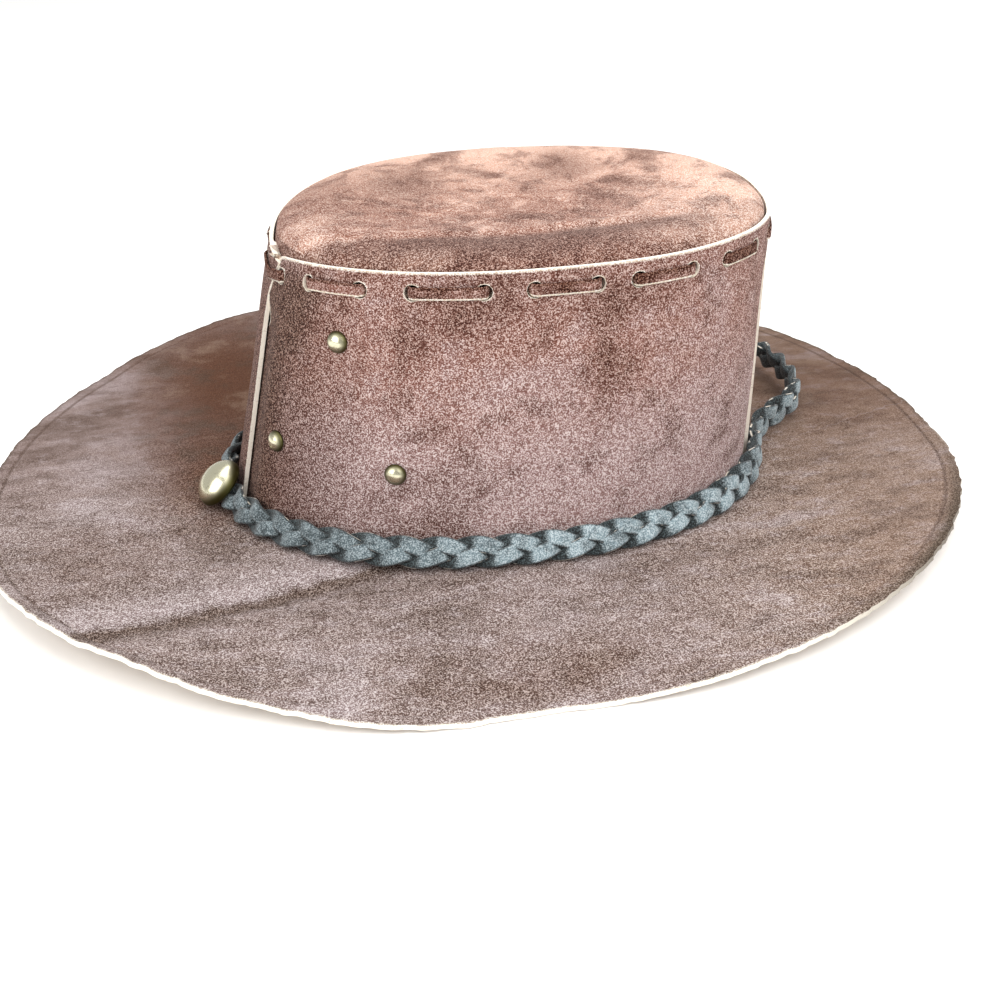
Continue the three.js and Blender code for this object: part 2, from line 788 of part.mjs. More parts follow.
const suedeCrown = new THREE.MeshStandardMaterial({ color: 0x7a4a44, roughness: 0.95, metalness: 0 });
const suedeTop = new THREE.MeshStandardMaterial({ color: 0x9a7268, roughness: 0.95, metalness: 0 });
const suedeBrim = new THREE.MeshStandardMaterial({ color: 0x77605c, roughness: 0.95, metalness: 0 });
const darkLeather = new THREE.MeshStandardMaterial({ color: 0x40494b, roughness: 0.8, metalness: 0 });
const agedBrass = new THREE.MeshStandardMaterial({ color: 0x9c9468, roughness: 0.35, metalness: 1 });

// Assembly

const hat = new THREE.Group();

function addPiece(name, geometry, material) {
  const mesh = new THREE.Mesh(geometry, material);
  mesh.name = name;
  hat.add(mesh);
  return mesh;
}

const brim = addPiece('brim', makeBrim(), suedeBrim);
addPiece('wall_left', makeWallLeft(), suedeCrown);
addPiece('wall_right', makeWallRight(), suedeCrown);
addPiece('top', makeTop(), suedeTop);
addPiece('lace', makeLace(), suedeCrown);
addPiece('hatband', makeBand(), darkLeather);

const button = addPiece('button', makeButton(), agedBrass);
const seat = bandFrame(BUTTON_ANGLE);
seat.multiply(new THREE.Matrix4().makeRotationX(-BUTTON_TILT));
seat.multiply(new THREE.Matrix4().makeTranslation(0, 0, BUTTON_RAISE + FIT));
button.applyMatrix4(seat);

for (const stud of studs) {
  const mesh = addPiece(stud.name, makeStud(), agedBrass);
  const place = crownFrame(stud.angle, stud.height);
  place.multiply(new THREE.Matrix4().makeTranslation(0, 0, FIT));
  mesh.applyMatrix4(place);
}

// The middle of the brim's box stands over the origin.
brim.geometry.computeBoundingBox();
const middle = brim.geometry.boundingBox.getCenter(new THREE.Vector3());
hat.position.set(-middle.x, -middle.y, 0);

export default hat;
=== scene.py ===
"""Leather cowboy hat: suede brim, two-panel crown laced to a moulded top, braided band.

Laid out as an add-on. Lengths are in metres, +Z up, the hat standing on its brim.
+X is the back of the hat and -Y the wearer's left, which faces the camera.
"""

import bisect
import functools
import math

import bmesh
import bpy
from bpy.props import FloatProperty, FloatVectorProperty, IntProperty, PointerProperty
from mathutils import Matrix, Vector, noise


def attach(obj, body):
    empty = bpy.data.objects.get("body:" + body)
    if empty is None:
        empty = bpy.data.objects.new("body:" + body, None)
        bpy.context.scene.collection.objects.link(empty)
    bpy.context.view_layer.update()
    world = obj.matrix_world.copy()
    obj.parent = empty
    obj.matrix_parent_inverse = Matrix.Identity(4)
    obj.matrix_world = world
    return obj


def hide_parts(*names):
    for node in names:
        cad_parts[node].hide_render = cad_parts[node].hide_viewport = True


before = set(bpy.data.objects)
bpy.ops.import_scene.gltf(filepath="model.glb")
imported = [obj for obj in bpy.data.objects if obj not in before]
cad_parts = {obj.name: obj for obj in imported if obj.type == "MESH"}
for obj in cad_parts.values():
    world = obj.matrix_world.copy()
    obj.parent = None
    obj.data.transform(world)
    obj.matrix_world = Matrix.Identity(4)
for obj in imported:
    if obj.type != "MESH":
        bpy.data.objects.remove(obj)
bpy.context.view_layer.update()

bl_info = {
    "name": "Leather cowboy hat",
    "version": (1, 0, 0),
    "blender": (4, 5, 0),
    "location": "View3D > Sidebar > Hat",
    "description": "Builds a suede hat with a laced crown and a braided band",
    "category": "Add Mesh",
}

FULL_TURN = 2 * math.pi
SMALL_TURN = 0.01
MERGE_DISTANCE = 1e-6

# Rounding of the cut edges, and the sharpest bend that isn't one
EDGE_ROUNDING = 0.0003
EDGE_ANGLE = math.radians(55)

# Edge of the left panel at a seam, and how far the right one parts from it in the open notch.
# above is a share of the lap depth above the rim; left and open are shares of the notch width.
SEAM_EDGES = (
    {"above": -1.0, "left": 0.0, "open": 0.0},
    {"above": -0.55, "left": 0.12, "open": 0.0},
    {"above": -0.19, "left": 0.58, "open": 0.0},
    {"above": -0.03, "left": 0.82, "open": 0.0},
    {"above": 0.02, "left": 0.85, "open": 0.7},
    {"above": 0.08, "left": 0.89, "open": 1.24},
    {"above": 0.31, "left": 1.0, "open": 1.73},
)

# Brim sections, one each 15 degrees from the back round the far side and the front.
# reach is a share of the oval's radius, lift is a share of the brim's lift at the edge.
BRIM_SECTIONS = (
    (0.995, 0.35),
    (1.003, 0.1),
    (1.018, -0.1),
    (1.02, 0.03),
    (1.02, 0.15),
    (1.02, 0.4),
    (1.02, 0.57),
    (1.03, 0.63),
    (1.03, 0.55),
    (1.005, 0.2),
    (0.984, -0.1),
    (0.98, 0.04),
    (0.983, 0.2),
    (0.987, 0.65),
    (1.0, 1.05),
    (0.997, 0.9),
    (1.011, 0.55),
    (1.021, 0.15),
    (0.994, -0.1),
    (1.006, 0.25),
    (1.003, 0.52),
    (0.998, 0.7),
    (0.997, 0.75),
    (0.998, 0.6),
)

# How far the slack of the band stands off the crown, at equal turns, as shares of its reach
LOOP_SHARES = (0, 0.02, 0.2, 0.6, 0.8, 0.93, 1.03, 1.05, 0.92, 0.67, 0.43, 0.28, 0.16, 0.07, 0.02, 0)

# Runs of the lace that are punched unevenly, by their number from the front seam: where the middle
# lies, counted in even runs, and the share of a run that shows outside
LACE_RUNS = {
    1: (0.999, 0.555),
    2: (2.084, 0.638),
    3: (3.131, 0.566),
    4: (4.078, 0.549),
    5: (5.026, 0.464),
}

# Studs on the near side: turn round the crown and height as a share of the crown's
STUD_PLACES = ((218.0, 0.742), (204.0, 0.333), (234.8, 0.308))

# Darker places of the crown's panels: centre, radii and strength. The first is painted shade along the top
# of the near panel; the second darkens the panel low down towards the front.
WALL_SHADES = (
    ((0.0, -0.08, 0.105), (0.13, 0.04, 0.025), 0.25),
    ((-0.03, -0.08, 0.012), (0.05, 0.03, 0.015), 0.35),
)

# Darker places of the top: centre, radii and strength. The first three are blots in the leather; the last
# two darken the near shoulder below its crease, partly its own tone and partly painted shade.
TOP_BLOTS_AND_SHADE = (
    ((-0.022, 0.017, 0.113), (0.022, 0.03, 0.05), 0.6),
    ((0.044, 0.029, 0.113), (0.02, 0.025, 0.05), 0.55),
    ((-0.06, 0.0, 0.113), (0.04, 0.06, 0.05), 0.35),
    ((0.0, -0.058, 0.113), (0.06, 0.016, 0.05), 0.65),
    ((0.06, -0.049, 0.113), (0.035, 0.013, 0.05), 0.45),
)

# Brown places of the brim: centre, radii and strength. The first two, at the front beside the crown, are
# brown leather darkened by the painted shadow of the crown.
BRIM_BROWNS_AND_CROWN_SHADOW = (
    ((-0.095, 0.09, 0.005), (0.07, 0.15, 0.05), 1.0),
    ((-0.1, 0.0, 0.005), (0.04, 0.07, 0.05), 0.95),
    ((0.17, 0.04, 0.005), (0.07, 0.09, 0.05), 0.45),
    ((-0.145, -0.06, 0.005), (0.045, 0.05, 0.05), 0.3),
    ((0.0, -0.155, 0.005), (0.07, 0.03, 0.05), 0.35),
)

# Burnished stretch of the brim's edge: centre and radii
BURNT = ((0.16, -0.11, 0.005), (0.11, 0.11, 0.03))

# Dull surface of suede, and the size of the tufts of its nap
DULL = {"Specular_IOR_Level": 0.15, "Sheen_Weight": 0.05}
NAP_GRAIN = 0.0005


def tone(code):
    """Linear colour of a six-digit screen colour."""
    parts = ((code >> shift & 255) / 255 for shift in (16, 8, 0))
    return tuple(p / 12.92 if p <= 0.04045 else ((p + 0.055) / 1.055) ** 2.4 for p in parts)


def length(name, description, default):
    """Setting for a length in metres."""
    return FloatProperty(
        name=name, description=description, default=default, min=0, unit="LENGTH", precision=5
    )


def turn(name, description, degrees):
    """Setting for an angle, with its default in degrees."""
    return FloatProperty(name=name, description=description, default=math.radians(degrees), subtype="ANGLE")


def factor(name, description, default):
    """Setting for a plain number."""
    return FloatProperty(name=name, description=description, default=default)


def paint(name, description, code):
    """Setting for a colour, with its default as a six-digit screen colour."""
    return FloatVectorProperty(
        name=name, description=description, default=tone(code), size=3, min=0, max=1, subtype="COLOR"
    )


class HatCrownSettings(bpy.types.PropertyGroup):
    """Sizes of the crown's two panels."""

    axis_back: length("Axis back", "How far the crown's axis lies behind the middle of the hat", 0.007533)
    axis_left: length("Axis left", "How far the crown's axis lies towards the wearer's left", 0.006673)
    foot_length: length("Foot half length", "Crown's foot, from its axis to front or back", 0.1042)
    foot_width: length("Foot half width", "Crown's foot, from its axis to one side", 0.0791)
    foot_squareness: factor("Foot squareness", "2 is an ellipse, more is squarer", 2.12)
    rim_length: length("Rim half length", "Crown's upper edge, from its middle to front or back", 0.094)
    rim_width: length("Rim half width", "Crown's upper edge, from its middle to one side", 0.0725)
    rim_squareness: factor("Rim squareness", "2 is an ellipse, more is squarer", 2.3)
    rim_set_back: length("Rim set back", "How far the upper edge lies behind the foot", 0.0126)
    foot_level: length("Foot level", "Height at which the panels stand on the brim", 0.0047)
    height: length("Height", "Height of the panels", 0.1058)
    wall: length("Wall", "Thickness of the panels", 0.002)
    skived: length("Edge thickness", "Thickness of the panels where their cut edges show", 0.0015)
    fit: length("Clearance", "Gap between pieces that lie on each other", 0.0003)
    seam_front: turn("Front seam", "Turn of the front seam from the back", 191.5)
    seam_back: turn("Back seam", "Turn of the back seam", 346)
    lap: length("Lap", "How far one panel goes under the other", 0.009)
    lap_ramp: length("Lap ramp", "Length over which the lapped end moves inwards", 0.014)
    butt_depth: length("Butt depth", "Depth below the rim where the panels start to lap", 0.013)
    lap_depth: length("Lap depth", "Depth below the rim where they lap fully", 0.026)
    notch_width: length("Notch width", "Width of the open notch at the seams", 0.0105)
    back_notch: factor("Back notch", "Size of the notch at the back against the front one", 0.6)
    rim_dip: length("Rim dip", "How far the rim dips at the front seam", 0.0065)
    flat_turn: turn("Flat turn", "Turn at which the crown is flatter", 158)
    flat_depth: length("Flat depth", "How much flatter it is there", 0.0045)
    flat_width: length("Flat width", "Half width of the flatter stretch", 0.04)
    slack: length("Slack", "Gentle unevenness of the leather", 0.0005)


class HatTopSettings(bpy.types.PropertyGroup):
    """Sizes of the moulded top and of the lace that holds it."""

    thickness: length("Thickness", "Thickness of the top", 0.002)
    skirt: length("Skirt", "How far its edge goes down inside the panels", 0.0125)
    shoulder_start: length("Shoulder start", "Depth below the rim at which the shoulder starts", 0.002)
    rise: length("Rise", "Height of the shoulder above the rim", 0.0043)
    reach: length("Reach", "Width of the rounded shoulder", 0.018)
    sink: length("Sink", "How far the middle sinks", 0.0035)
    lace_width: length("Lace width", "Width of the flat lace", 0.0046)
    lace_thickness: length("Lace thickness", "Thickness of the lace", 0.001)
    lace_drop: length("Lace drop", "Depth of the lace below the rim", 0.007)
    lace_runs: IntProperty(name="Lace runs", description="Runs outside the crown", default=14, min=2)
    lace_share: factor("Outside share", "Share of the lace that shows outside", 0.56)
    lace_reach: length("Lace reach", "How far past a hole's middle the lace goes through it", 0.0012)
    hole_radius: length("Hole radius", "Radius of the punched holes", 0.0029)


class HatBrimSettings(bpy.types.PropertyGroup):
    """Sizes of the brim."""

    half_length: length("Half length", "Brim from its middle to front or back", 0.1945)
    half_width: length("Half width", "Brim from its middle to one side", 0.1747)
    squareness: factor("Squareness", "2 is an ellipse, more is squarer", 2.19)
    set_forward: length("Set forward", "How far its middle lies in front of the crown's axis", 0.0087)
    set_right: length("Set right", "How far its middle lies to the wearer's right of it", 0.0053)
    thickness: length("Thickness", "Thickness of the brim", 0.0018)
    root_lift: length("Root lift", "Height of its underside at the crown", 0.0022)
    lift: length("Lift", "Height of its edge where it waves up", 0.01)
    curve: factor("Curve", "How late the brim turns up towards its edge", 1.5)
    upstand: length("Upstand", "Height of the margin turned up inside the crown", 0.011)
    fold_start: turn("Fold start", "Turn at which the fold leaves the crown", 238)
    fold_end: turn("Fold end", "Turn at which it reaches the edge", 219)
    fold_depth: length("Fold depth", "Depth of the soft fold", 0.0022)
    fold_width: length("Fold width", "Half width of the soft fold", 0.016)
    line_depth: length("Line depth", "Depth of the crease along the fold", 0.0012)
    line_width: length("Line width", "Half width of that crease", 0.006)
    crease_inset: length("Crease inset", "Distance of the pressed line from the edge", 0.0055)
    crease_depth: length("Crease depth", "Depth of the pressed line", 0.0004)
    crease_width: length("Crease width", "Half width of the pressed line", 0.0006)
    ragged: length("Ragged edge", "How uneven the cut edge is", 0.0009)
    curl: length("Curl", "How far the cut edge curls up at the front left", 0.0016)
    slack: length("Slack", "Gentle unevenness of the leather", 0.0005)


class HatBandSettings(bpy.types.PropertyGroup):
    """Sizes of the braided band."""

    width: length("Width", "Width of the braid", 0.0118)
    thickness: length("Thickness", "Thickness of the braid", 0.0055)
    gap: length("Gap", "Clearance between braid and crown", 0.0005)
    tilt: turn("Tilt", "How far the lower edge leans out", 35)
    tilt_from: turn("Tilt from", "Turn from the back over which the lean grows", 50)
    loop_start: turn("Loop start", "Turn at which the slack leaves the crown", -12)
    loop_end: turn("Loop end", "Turn at which the slack comes back", 78)
    loop_reach: length("Loop reach", "How far the slack stands off the crown", 0.044)
    loop_lift: length("Loop lift", "How far the slack rises where it stands off most", 0.0028)
    strand_width: length("Strand width", "Width of one strand", 0.006)
    strand_thickness: length("Strand thickness", "Thickness of one strand", 0.0019)
    repeats: IntProperty(name="Repeats", description="Full repeats of the braid", default=17, min=3)


class HatMetalSettings(bpy.types.PropertyGroup):
    """Sizes of the button and the studs."""

    button_radius: length("Button radius", "Radius of the button", 0.0098)
    button_dome: length("Button dome", "Height of its dome", 0.0068)
    button_edge: length("Button edge", "Height of its straight edge", 0.0013)
    button_turn: turn("Button turn", "Turn of the button round the crown", 189)
    button_tilt: turn("Button tilt", "How far it leans beyond the band", 13)
    button_raise: length("Button raise", "How far its back stands off the band's middle", 0.0033)
    stud_radius: length("Stud radius", "Radius of a stud", 0.004)
    stud_dome: length("Stud dome", "Height of its dome", 0.0028)
    stud_post: length("Stud post", "Radius of the post through the leather", 0.001)
    stud_back: length("Stud back", "Radius of the rivet head inside", 0.003)


class HatColourSettings(bpy.types.PropertyGroup):
    """Colours of the leather, the braid and the metal."""

    wall_body: paint("Crown", "Main colour of the panels", 0x9A776D)
    wall_deep: paint("Crown, dark", "Dark clouds on the panels", 0x5C3A2D)
    # Also the painted light that pales the lower panels
    wall_pale: paint("Crown, rubbed", "Greyer lower part of the panels", 0xAC9592)
    seam_strip: paint("Seam strip", "Dark strip of the near panel beside the front seam", 0x54382C)
    top_body: paint("Top", "Main colour of the top", 0xA17B6C)
    top_deep: paint("Top, dark", "Dark clouds on the top", 0x66453A)
    top_pale: paint("Top, rubbed", "Rubbed places on the top", 0xDDBCAB)
    brim_body: paint("Brim", "Main colour of the brim", 0x8C7B76)
    brim_deep: paint("Brim, dark", "Dark clouds on the brim", 0x5C493F)
    # Also the painted light on the slope beyond the fold
    brim_pale: paint("Brim, rubbed", "Rubbed places on the brim", 0xA99C9C)
    # Also the colour of the painted shadow of the crown on the brim
    brim_brown: paint("Brim, brown", "Brown places of the brim", 0x603F2C)
    brim_tan: paint("Brim, tan", "Tan of the brim at the back", 0x8B7463)
    burnt: paint("Burnished edge", "Dark burnished stretch of the edge", 0x4D4033)
    flesh: paint("Flesh side", "Inside and underside of the leather", 0xA98F7C)
    raw: paint("Cut edge", "Raw cut edges", 0xF4ECDD)
    braid: paint("Braid", "Main colour of the strands", 0x98A7AC)
    braid_deep: paint("Braid, dark", "Dark places of the strands", 0x222C2E)
    brass: paint("Brass", "Metal of button and studs", 0xDDD8BC)
    tarnish: paint("Tarnish", "Dark tarnish on the metal", 0x4F4C2A)
    floor: paint("Floor", "Plain floor", 0xF7F6F4)


SETTINGS = {
    "hat_crown": HatCrownSettings,
    "hat_top": HatTopSettings,
    "hat_brim": HatBrimSettings,
    "hat_band": HatBandSettings,
    "hat_metal": HatMetalSettings,
    "hat_colours": HatColourSettings,
}


def smooth(low, high, value):
    """Smooth step from 0 at low to 1 at high."""
    share = min(max((value - low) / (high - low), 0), 1)
    return share * share * (3 - 2 * share)


def mix(a, b, share):
    """Value at a share of the way from a to b."""
    return a + (b - a) * share


def bell(distance, width):
    """1 at no distance, smoothly down to 0 over a few widths."""
    return math.exp(-((distance / width) ** 2))


def ripple(point, size):
    """Smooth unevenness from -1 to 1 with bumps about size across."""
    return noise.noise(point / size)


def waves(point, height, size):
    """Unevenness of a height, with bumps about size across."""
    return height * ripple(point, size)


def blend_rows(rows, place):
    """Value on a smooth closed curve through the rows."""
    first = math.floor(place)
    share = place - first
    a, b, c, d = (rows[(first + i) % len(rows)] for i in (-1, 0, 1, 2))
    bend = 2 * a - 5 * b + 4 * c - d + share * (3 * (b - c) + d - a)
    return b + 0.5 * share * (c - a + share * bend)


def table_value(rows, key, value, column):
    """Straight-line value of a column between rows that are sorted by key."""
    keys = [row[key] for row in rows]
    high = min(max(bisect.bisect(keys, value), 1), len(rows) - 1)
    low = rows[high - 1]
    high = rows[high]
    share = min(max((value - low[key]) / (high[key] - low[key]), 0), 1)
    return mix(low[column], high[column], share)


def oval_point(oval, angle, offset=0.0):
    """Point of a rounded oval, moved outwards along its normal."""
    half_length, half_width, power = oval
    cosine = math.cos(angle)
    sine = math.sin(angle)
    reach = abs(cosine / half_length) ** power + abs(sine / half_width) ** power
    reach = reach ** (-1 / power)
    x = reach * cosine
    y = reach * sine
    slope_x = math.copysign(abs(cosine) ** (power - 1), x) / half_length**power
    slope_y = math.copysign(abs(sine) ** (power - 1), y) / half_width**power
    slope = math.hypot(slope_x, slope_y)
    return Vector((x + offset * slope_x / slope, y + offset * slope_y / slope, 0))


def strip_section(around, across_power, through_power):
    """Point of a strip's squared section, as shares of half its width and half its thickness."""
    cosine = math.cos(around)
    sine = math.sin(around)
    across = math.copysign(abs(cosine) ** across_power, cosine)
    return across, math.copysign(abs(sine) ** through_power, sine)


def axes(origin, x, y, z):
    """Matrix that takes a piece from its own axes to its place."""
    matrix = Matrix((x, y, z)).transposed().to_4x4()
    matrix.translation = origin
    return matrix


class Sized:
    """Has the values of a group of settings as its own."""

    NO_SIZES = ("rna_type", "name")

    def __init__(self, settings):
        names = [key for key in settings.bl_rna.properties.keys() if key not in self.NO_SIZES]
        self.size = {key: getattr(settings, key) for key in names}

    def __getattr__(self, name):
        return self.size[name]


class Crown(Sized):
    """Outline of the crown, from its settings."""

    # Dips of the rim at the seams: how far they spread, as shares of its half length, and how deep
    # the back one is against the front one
    FRONT_SPREAD = 0.3
    BACK_SPREAD = 0.21
    BACK_DIP = 0.3
    # Step down the panels that shows how they lean
    LEAN_STEP = 0.001

    def __init__(self, settings):
        super().__init__(settings)
        self.axis = Vector((self.axis_back, -self.axis_left, 0))
        self.core = self.axis + Vector((0, 0, self.height / 2))
        self.foot = (self.foot_length, self.foot_width, self.foot_squareness)
        self.rim = (self.rim_length, self.rim_width, self.rim_squareness)

    def point(self, angle, height, offset=0.0):
        """Point of the crown's outside at a turn and a height, moved outwards."""
        share = min(height / self.height, 1)
        oval = tuple(mix(a, b, share) for a, b in zip(self.foot, self.rim))
        offset -= self.flat_depth * bell(self.past(angle, self.flat_turn), self.flat_width)
        flat = oval_point(oval, angle, offset) + self.axis
        return flat + Vector((self.rim_set_back * share, 0, self.foot_level + height))

    def past(self, angle, seam):
        """Signed length along the crown from a seam, positive with a growing turn."""
        wrapped = (angle - seam + math.pi) % FULL_TURN - math.pi
        return wrapped * self.rim_length

    def rim_height(self, angle):
        """Height of the panels, which dips at the seams."""
        front = math.exp(-abs(self.past(angle, self.seam_front)) / (self.FRONT_SPREAD * self.rim_length))
        back = math.exp(-abs(self.past(angle, self.seam_back)) / (self.BACK_SPREAD * self.rim_length))
        return self.height - self.rim_dip * (front + self.BACK_DIP * back)

    def under_right(self, angle):
        """Length past the nearer seam towards the right panel."""
        front = -self.past(angle, self.seam_front)
        back = self.past(angle, self.seam_back)
        return front if abs(front) < abs(back) else back

    def lap_inset(self, angle):
        """How far the left panel and what lies inside it move in under the right one's end."""
        under = self.under_right(angle)
        rise = smooth(-self.lap_ramp, 0, under)
        fall = 1 - smooth(self.lap + self.fit, self.lap + self.lap_ramp, under)
        return (self.wall + self.fit) * rise * fall

    def frame(self, angle, height, leaning=True):
        """Axes on the crown's outside: X along it, Y up it, Z outwards."""
        origin = self.point(angle, height)
        along = self.point(angle + SMALL_TURN, height) - self.point(angle - SMALL_TURN, height)
        along.normalize()
        rise = Vector((0, 0, 1))
        if leaning:
            rise = (origin - self.point(angle, height - self.LEAN_STEP)).normalized()
        out = along.cross(rise).normalized()
        return axes(origin, along, out.cross(along), out)


class Line:
    """A closed line round the crown, with its turn at each length."""

    STEPS = 720

    def __init__(self, start, point_at):
        self.turns = [start + FULL_TURN * i / self.STEPS for i in range(self.STEPS + 1)]
        self.lengths = [0.0]
        last = point_at(start)
        for angle in self.turns[1:]:
            point = point_at(angle)
            self.lengths.append(self.lengths[-1] + (point - last).length)
            last = point
        self.length = self.lengths[-1]

    def turn_at(self, distance):
        """Turn at a length along the line."""
        wrapped = distance % self.length
        after = max(bisect.bisect_left(self.lengths, wrapped), 1)
        low, high = self.lengths[after - 1], self.lengths[after]
        share = (wrapped - low) / (high - low)
        return mix(self.turns[after - 1], self.turns[after], share)


class Lacing:
    """Line of the lace, with its runs outside the crown."""

    def __init__(self, crown, sizes):
        self.crown = crown
        self.drop = sizes.lace_drop
        level = crown.height - self.drop
        self.line = Line(crown.seam_front, lambda angle: crown.point(angle, level))
        self.pitch = self.line.length / sizes.lace_runs
        self.runs = []
        for i in range(sizes.lace_runs):
            middle, share = LACE_RUNS.get(i, (i, sizes.lace_share))
            self.runs.append(((middle - share / 2) * self.pitch, (middle + share / 2) * self.pitch))

    def height(self, angle):
        """Height of the lace's middle."""
        return self.crown.rim_height(angle) - self.drop

    def holes(self):
        """Axes of each punched hole."""
        for run in self.runs:
            for distance in run:
                angle = self.line.turn_at(distance)
                yield self.crown.frame(angle, self.height(angle), leaning=False)


class Brim(Sized):
    """Lie of the brim, from its settings."""

    def __init__(self, crown, settings):
        super().__init__(settings)
        self.crown = crown
        self.oval = (self.half_length, self.half_width, self.squareness)
        self.fold_from = oval_point(crown.foot, self.fold_start)
        self.fold_along = (self.edge(self.fold_end)[0] - self.fold_from).normalized()

    @functools.lru_cache(maxsize=4096)
    def edge(self, angle):
        """Edge point from the crown's axis, and the lift there."""
        place = (angle / FULL_TURN % 1) * len(BRIM_SECTIONS)
        reach = blend_rows([row[0] for row in BRIM_SECTIONS], place)
        lift = blend_rows([row[1] for row in BRIM_SECTIONS], place)
        centre = Vector((-self.set_forward, self.set_right, 0))
        return oval_point(self.oval, angle) * reach + centre, self.lift * lift

    def fold_side(self, flat):
        """Signed distance from the fold's line, positive towards the near edge."""
        away = flat - self.fold_from
        return away.x * self.fold_along.y - away.y * self.fold_along.x

    def near_fold(self, angle):
        """1 at the turn where the fold leaves the crown, and less with the length from it."""
        return 1 - abs(self.crown.past(angle, self.fold_start)) / self.crown.rim_length

    def under(self, angle, share):
        """Underside at a share of the way from the foot to the edge, from the crown's axis."""
        root = oval_point(self.crown.foot, angle)
        edge, lift = self.edge(angle)
        flat = root.lerp(edge, share)
        level = self.root_lift + (lift - self.root_lift) * share**self.curve
        near = smooth(0, 1, self.near_fold(angle))
        near *= math.sin(math.pi * math.sqrt(min(max(share, 0), 1)))
        side = self.fold_side(flat)
        level -= near * self.fold_depth * bell(side, self.fold_width)
        flat.z = max(level, 0)
        return flat


class Band(Sized):
    """Middle line of the braid and its axes."""

    def __init__(self, crown, settings):
        super().__init__(settings)
        self.crown = crown
        self.line = Line(0, self.middle)

    def reach(self, angle):
        """How far the slack stands off the crown."""
        place = ((angle - self.loop_start) % FULL_TURN) / (self.loop_end - self.loop_start)
        place *= len(LOOP_SHARES) - 1
        if place >= len(LOOP_SHARES) - 1:
            return 0
        return self.loop_reach * max(blend_rows(LOOP_SHARES, place), 0)

    def lean(self, angle):
        """How far the braid leans out at its lower edge."""
        wrapped = angle % FULL_TURN
        return self.tilt * smooth(0, self.tilt_from, min(wrapped, FULL_TURN - wrapped))

    def middle(self, angle):
        """Point of the middle line at a turn."""
        lean = self.lean(angle)
        across = self.width / 2
        through = self.thickness / 2
        rise = math.hypot(across * math.cos(lean), through * math.sin(lean))
        stand = math.hypot(across * math.sin(lean), through * math.cos(lean))
        reach = self.reach(angle)
        lifted = self.crown.point(angle, rise, self.gap + stand + reach)
        lifted.z += self.loop_lift * reach / self.loop_reach
        return lifted

    def frame(self, angle):
        """Axes on the middle line: X along it, Y up the braid's face, Z out of it."""
        lean = self.lean(angle)
        along = (self.middle(angle + SMALL_TURN) - self.middle(angle - SMALL_TURN)).normalized()
        level = Vector((along.y, -along.x, 0)).normalized()
        out = level * math.cos(lean) + Vector((0, 0, math.sin(lean)))
        up = out.cross(along).normalized()
        return axes(self.middle(angle), along, up, along.cross(up))


def sheet(columns, rows, place, marks, closed=False):
    """A grid whose vertices go where place(u, v) says, with its marks kept on them."""
    bm = bmesh.new()
    bmesh.ops.create_grid(bm, x_segments=columns, y_segments=rows, size=0.5)
    layers = [bm.verts.layers.float.new(name) for name in marks]
    for vert in bm.verts:
        point, *values = place(vert.co.x + 0.5, vert.co.y + 0.5)
        vert.co = point
        for layer, value in zip(layers, values):
            vert[layer] = value
    if closed:
        bmesh.ops.remove_doubles(bm, verts=bm.verts, dist=MERGE_DISTANCE)
    return bm


def face_away(bm, inside):
    """Turns the faces of a sheet away from a point."""
    bm.normal_update()
    facing = sum(face.normal.dot(face.calc_center_median() - inside) for face in bm.faces)
    if facing < 0:
        bmesh.ops.reverse_faces(bm, faces=bm.faces)


def punch(bm, frames, radius, reach):
    """Cuts round holes into a sheet, rounds them and marks their edges."""
    edge = bm.verts.layers.float.get("edge")
    for matrix in frames:
        back = matrix.inverted()
        inside = []
        for face in bm.faces:
            middle = back @ face.calc_center_median()
            if math.hypot(middle.x, middle.y) < radius and abs(middle.z) < reach:
                inside.append(face)
        if not inside:
            continue
        around = {vert for face in inside for vert in face.verts}
        bmesh.ops.delete(bm, geom=inside, context="FACES")
        for vert in around:
            if not vert.is_valid:
                continue
            local = back @ vert.co
            flat = math.hypot(local.x, local.y)
            local.x *= radius / flat
            local.y *= radius / flat
            vert.co = matrix @ local
            if edge is not None:
                vert[edge] = 0


def piece_from(name, bm, finishes, slot, *nodes):
    """Makes the object of a piece, which rides on the hat and stands for its nodes."""
    mesh = bpy.data.meshes.new(name)
    bm.to_mesh(mesh)
    bm.free()
    mesh.shade_smooth()
    for finish in finishes:
        mesh.materials.append(finish)
    piece = bpy.data.objects.new(name, mesh)
    bpy.context.scene.collection.objects.link(piece)
    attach(piece, "root")
    for node in nodes:
        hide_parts(node)
    return piece


def thicken(piece, thickness):
    """Gives a sheet its thickness inwards, with cut edges of their own finish."""
    solid = piece.modifiers.new("thickness", "SOLIDIFY")
    solid.thickness = thickness
    solid.offset = -1
    solid.use_even_offset = True
    solid.material_offset = 1
    solid.material_offset_rim = 2
    edge = piece.modifiers.new("cut edge", "BEVEL")
    edge.width = EDGE_ROUNDING
    edge.segments = 2
    edge.limit_method = "ANGLE"
    edge.angle_limit = EDGE_ANGLE
    edge.harden_normals = True


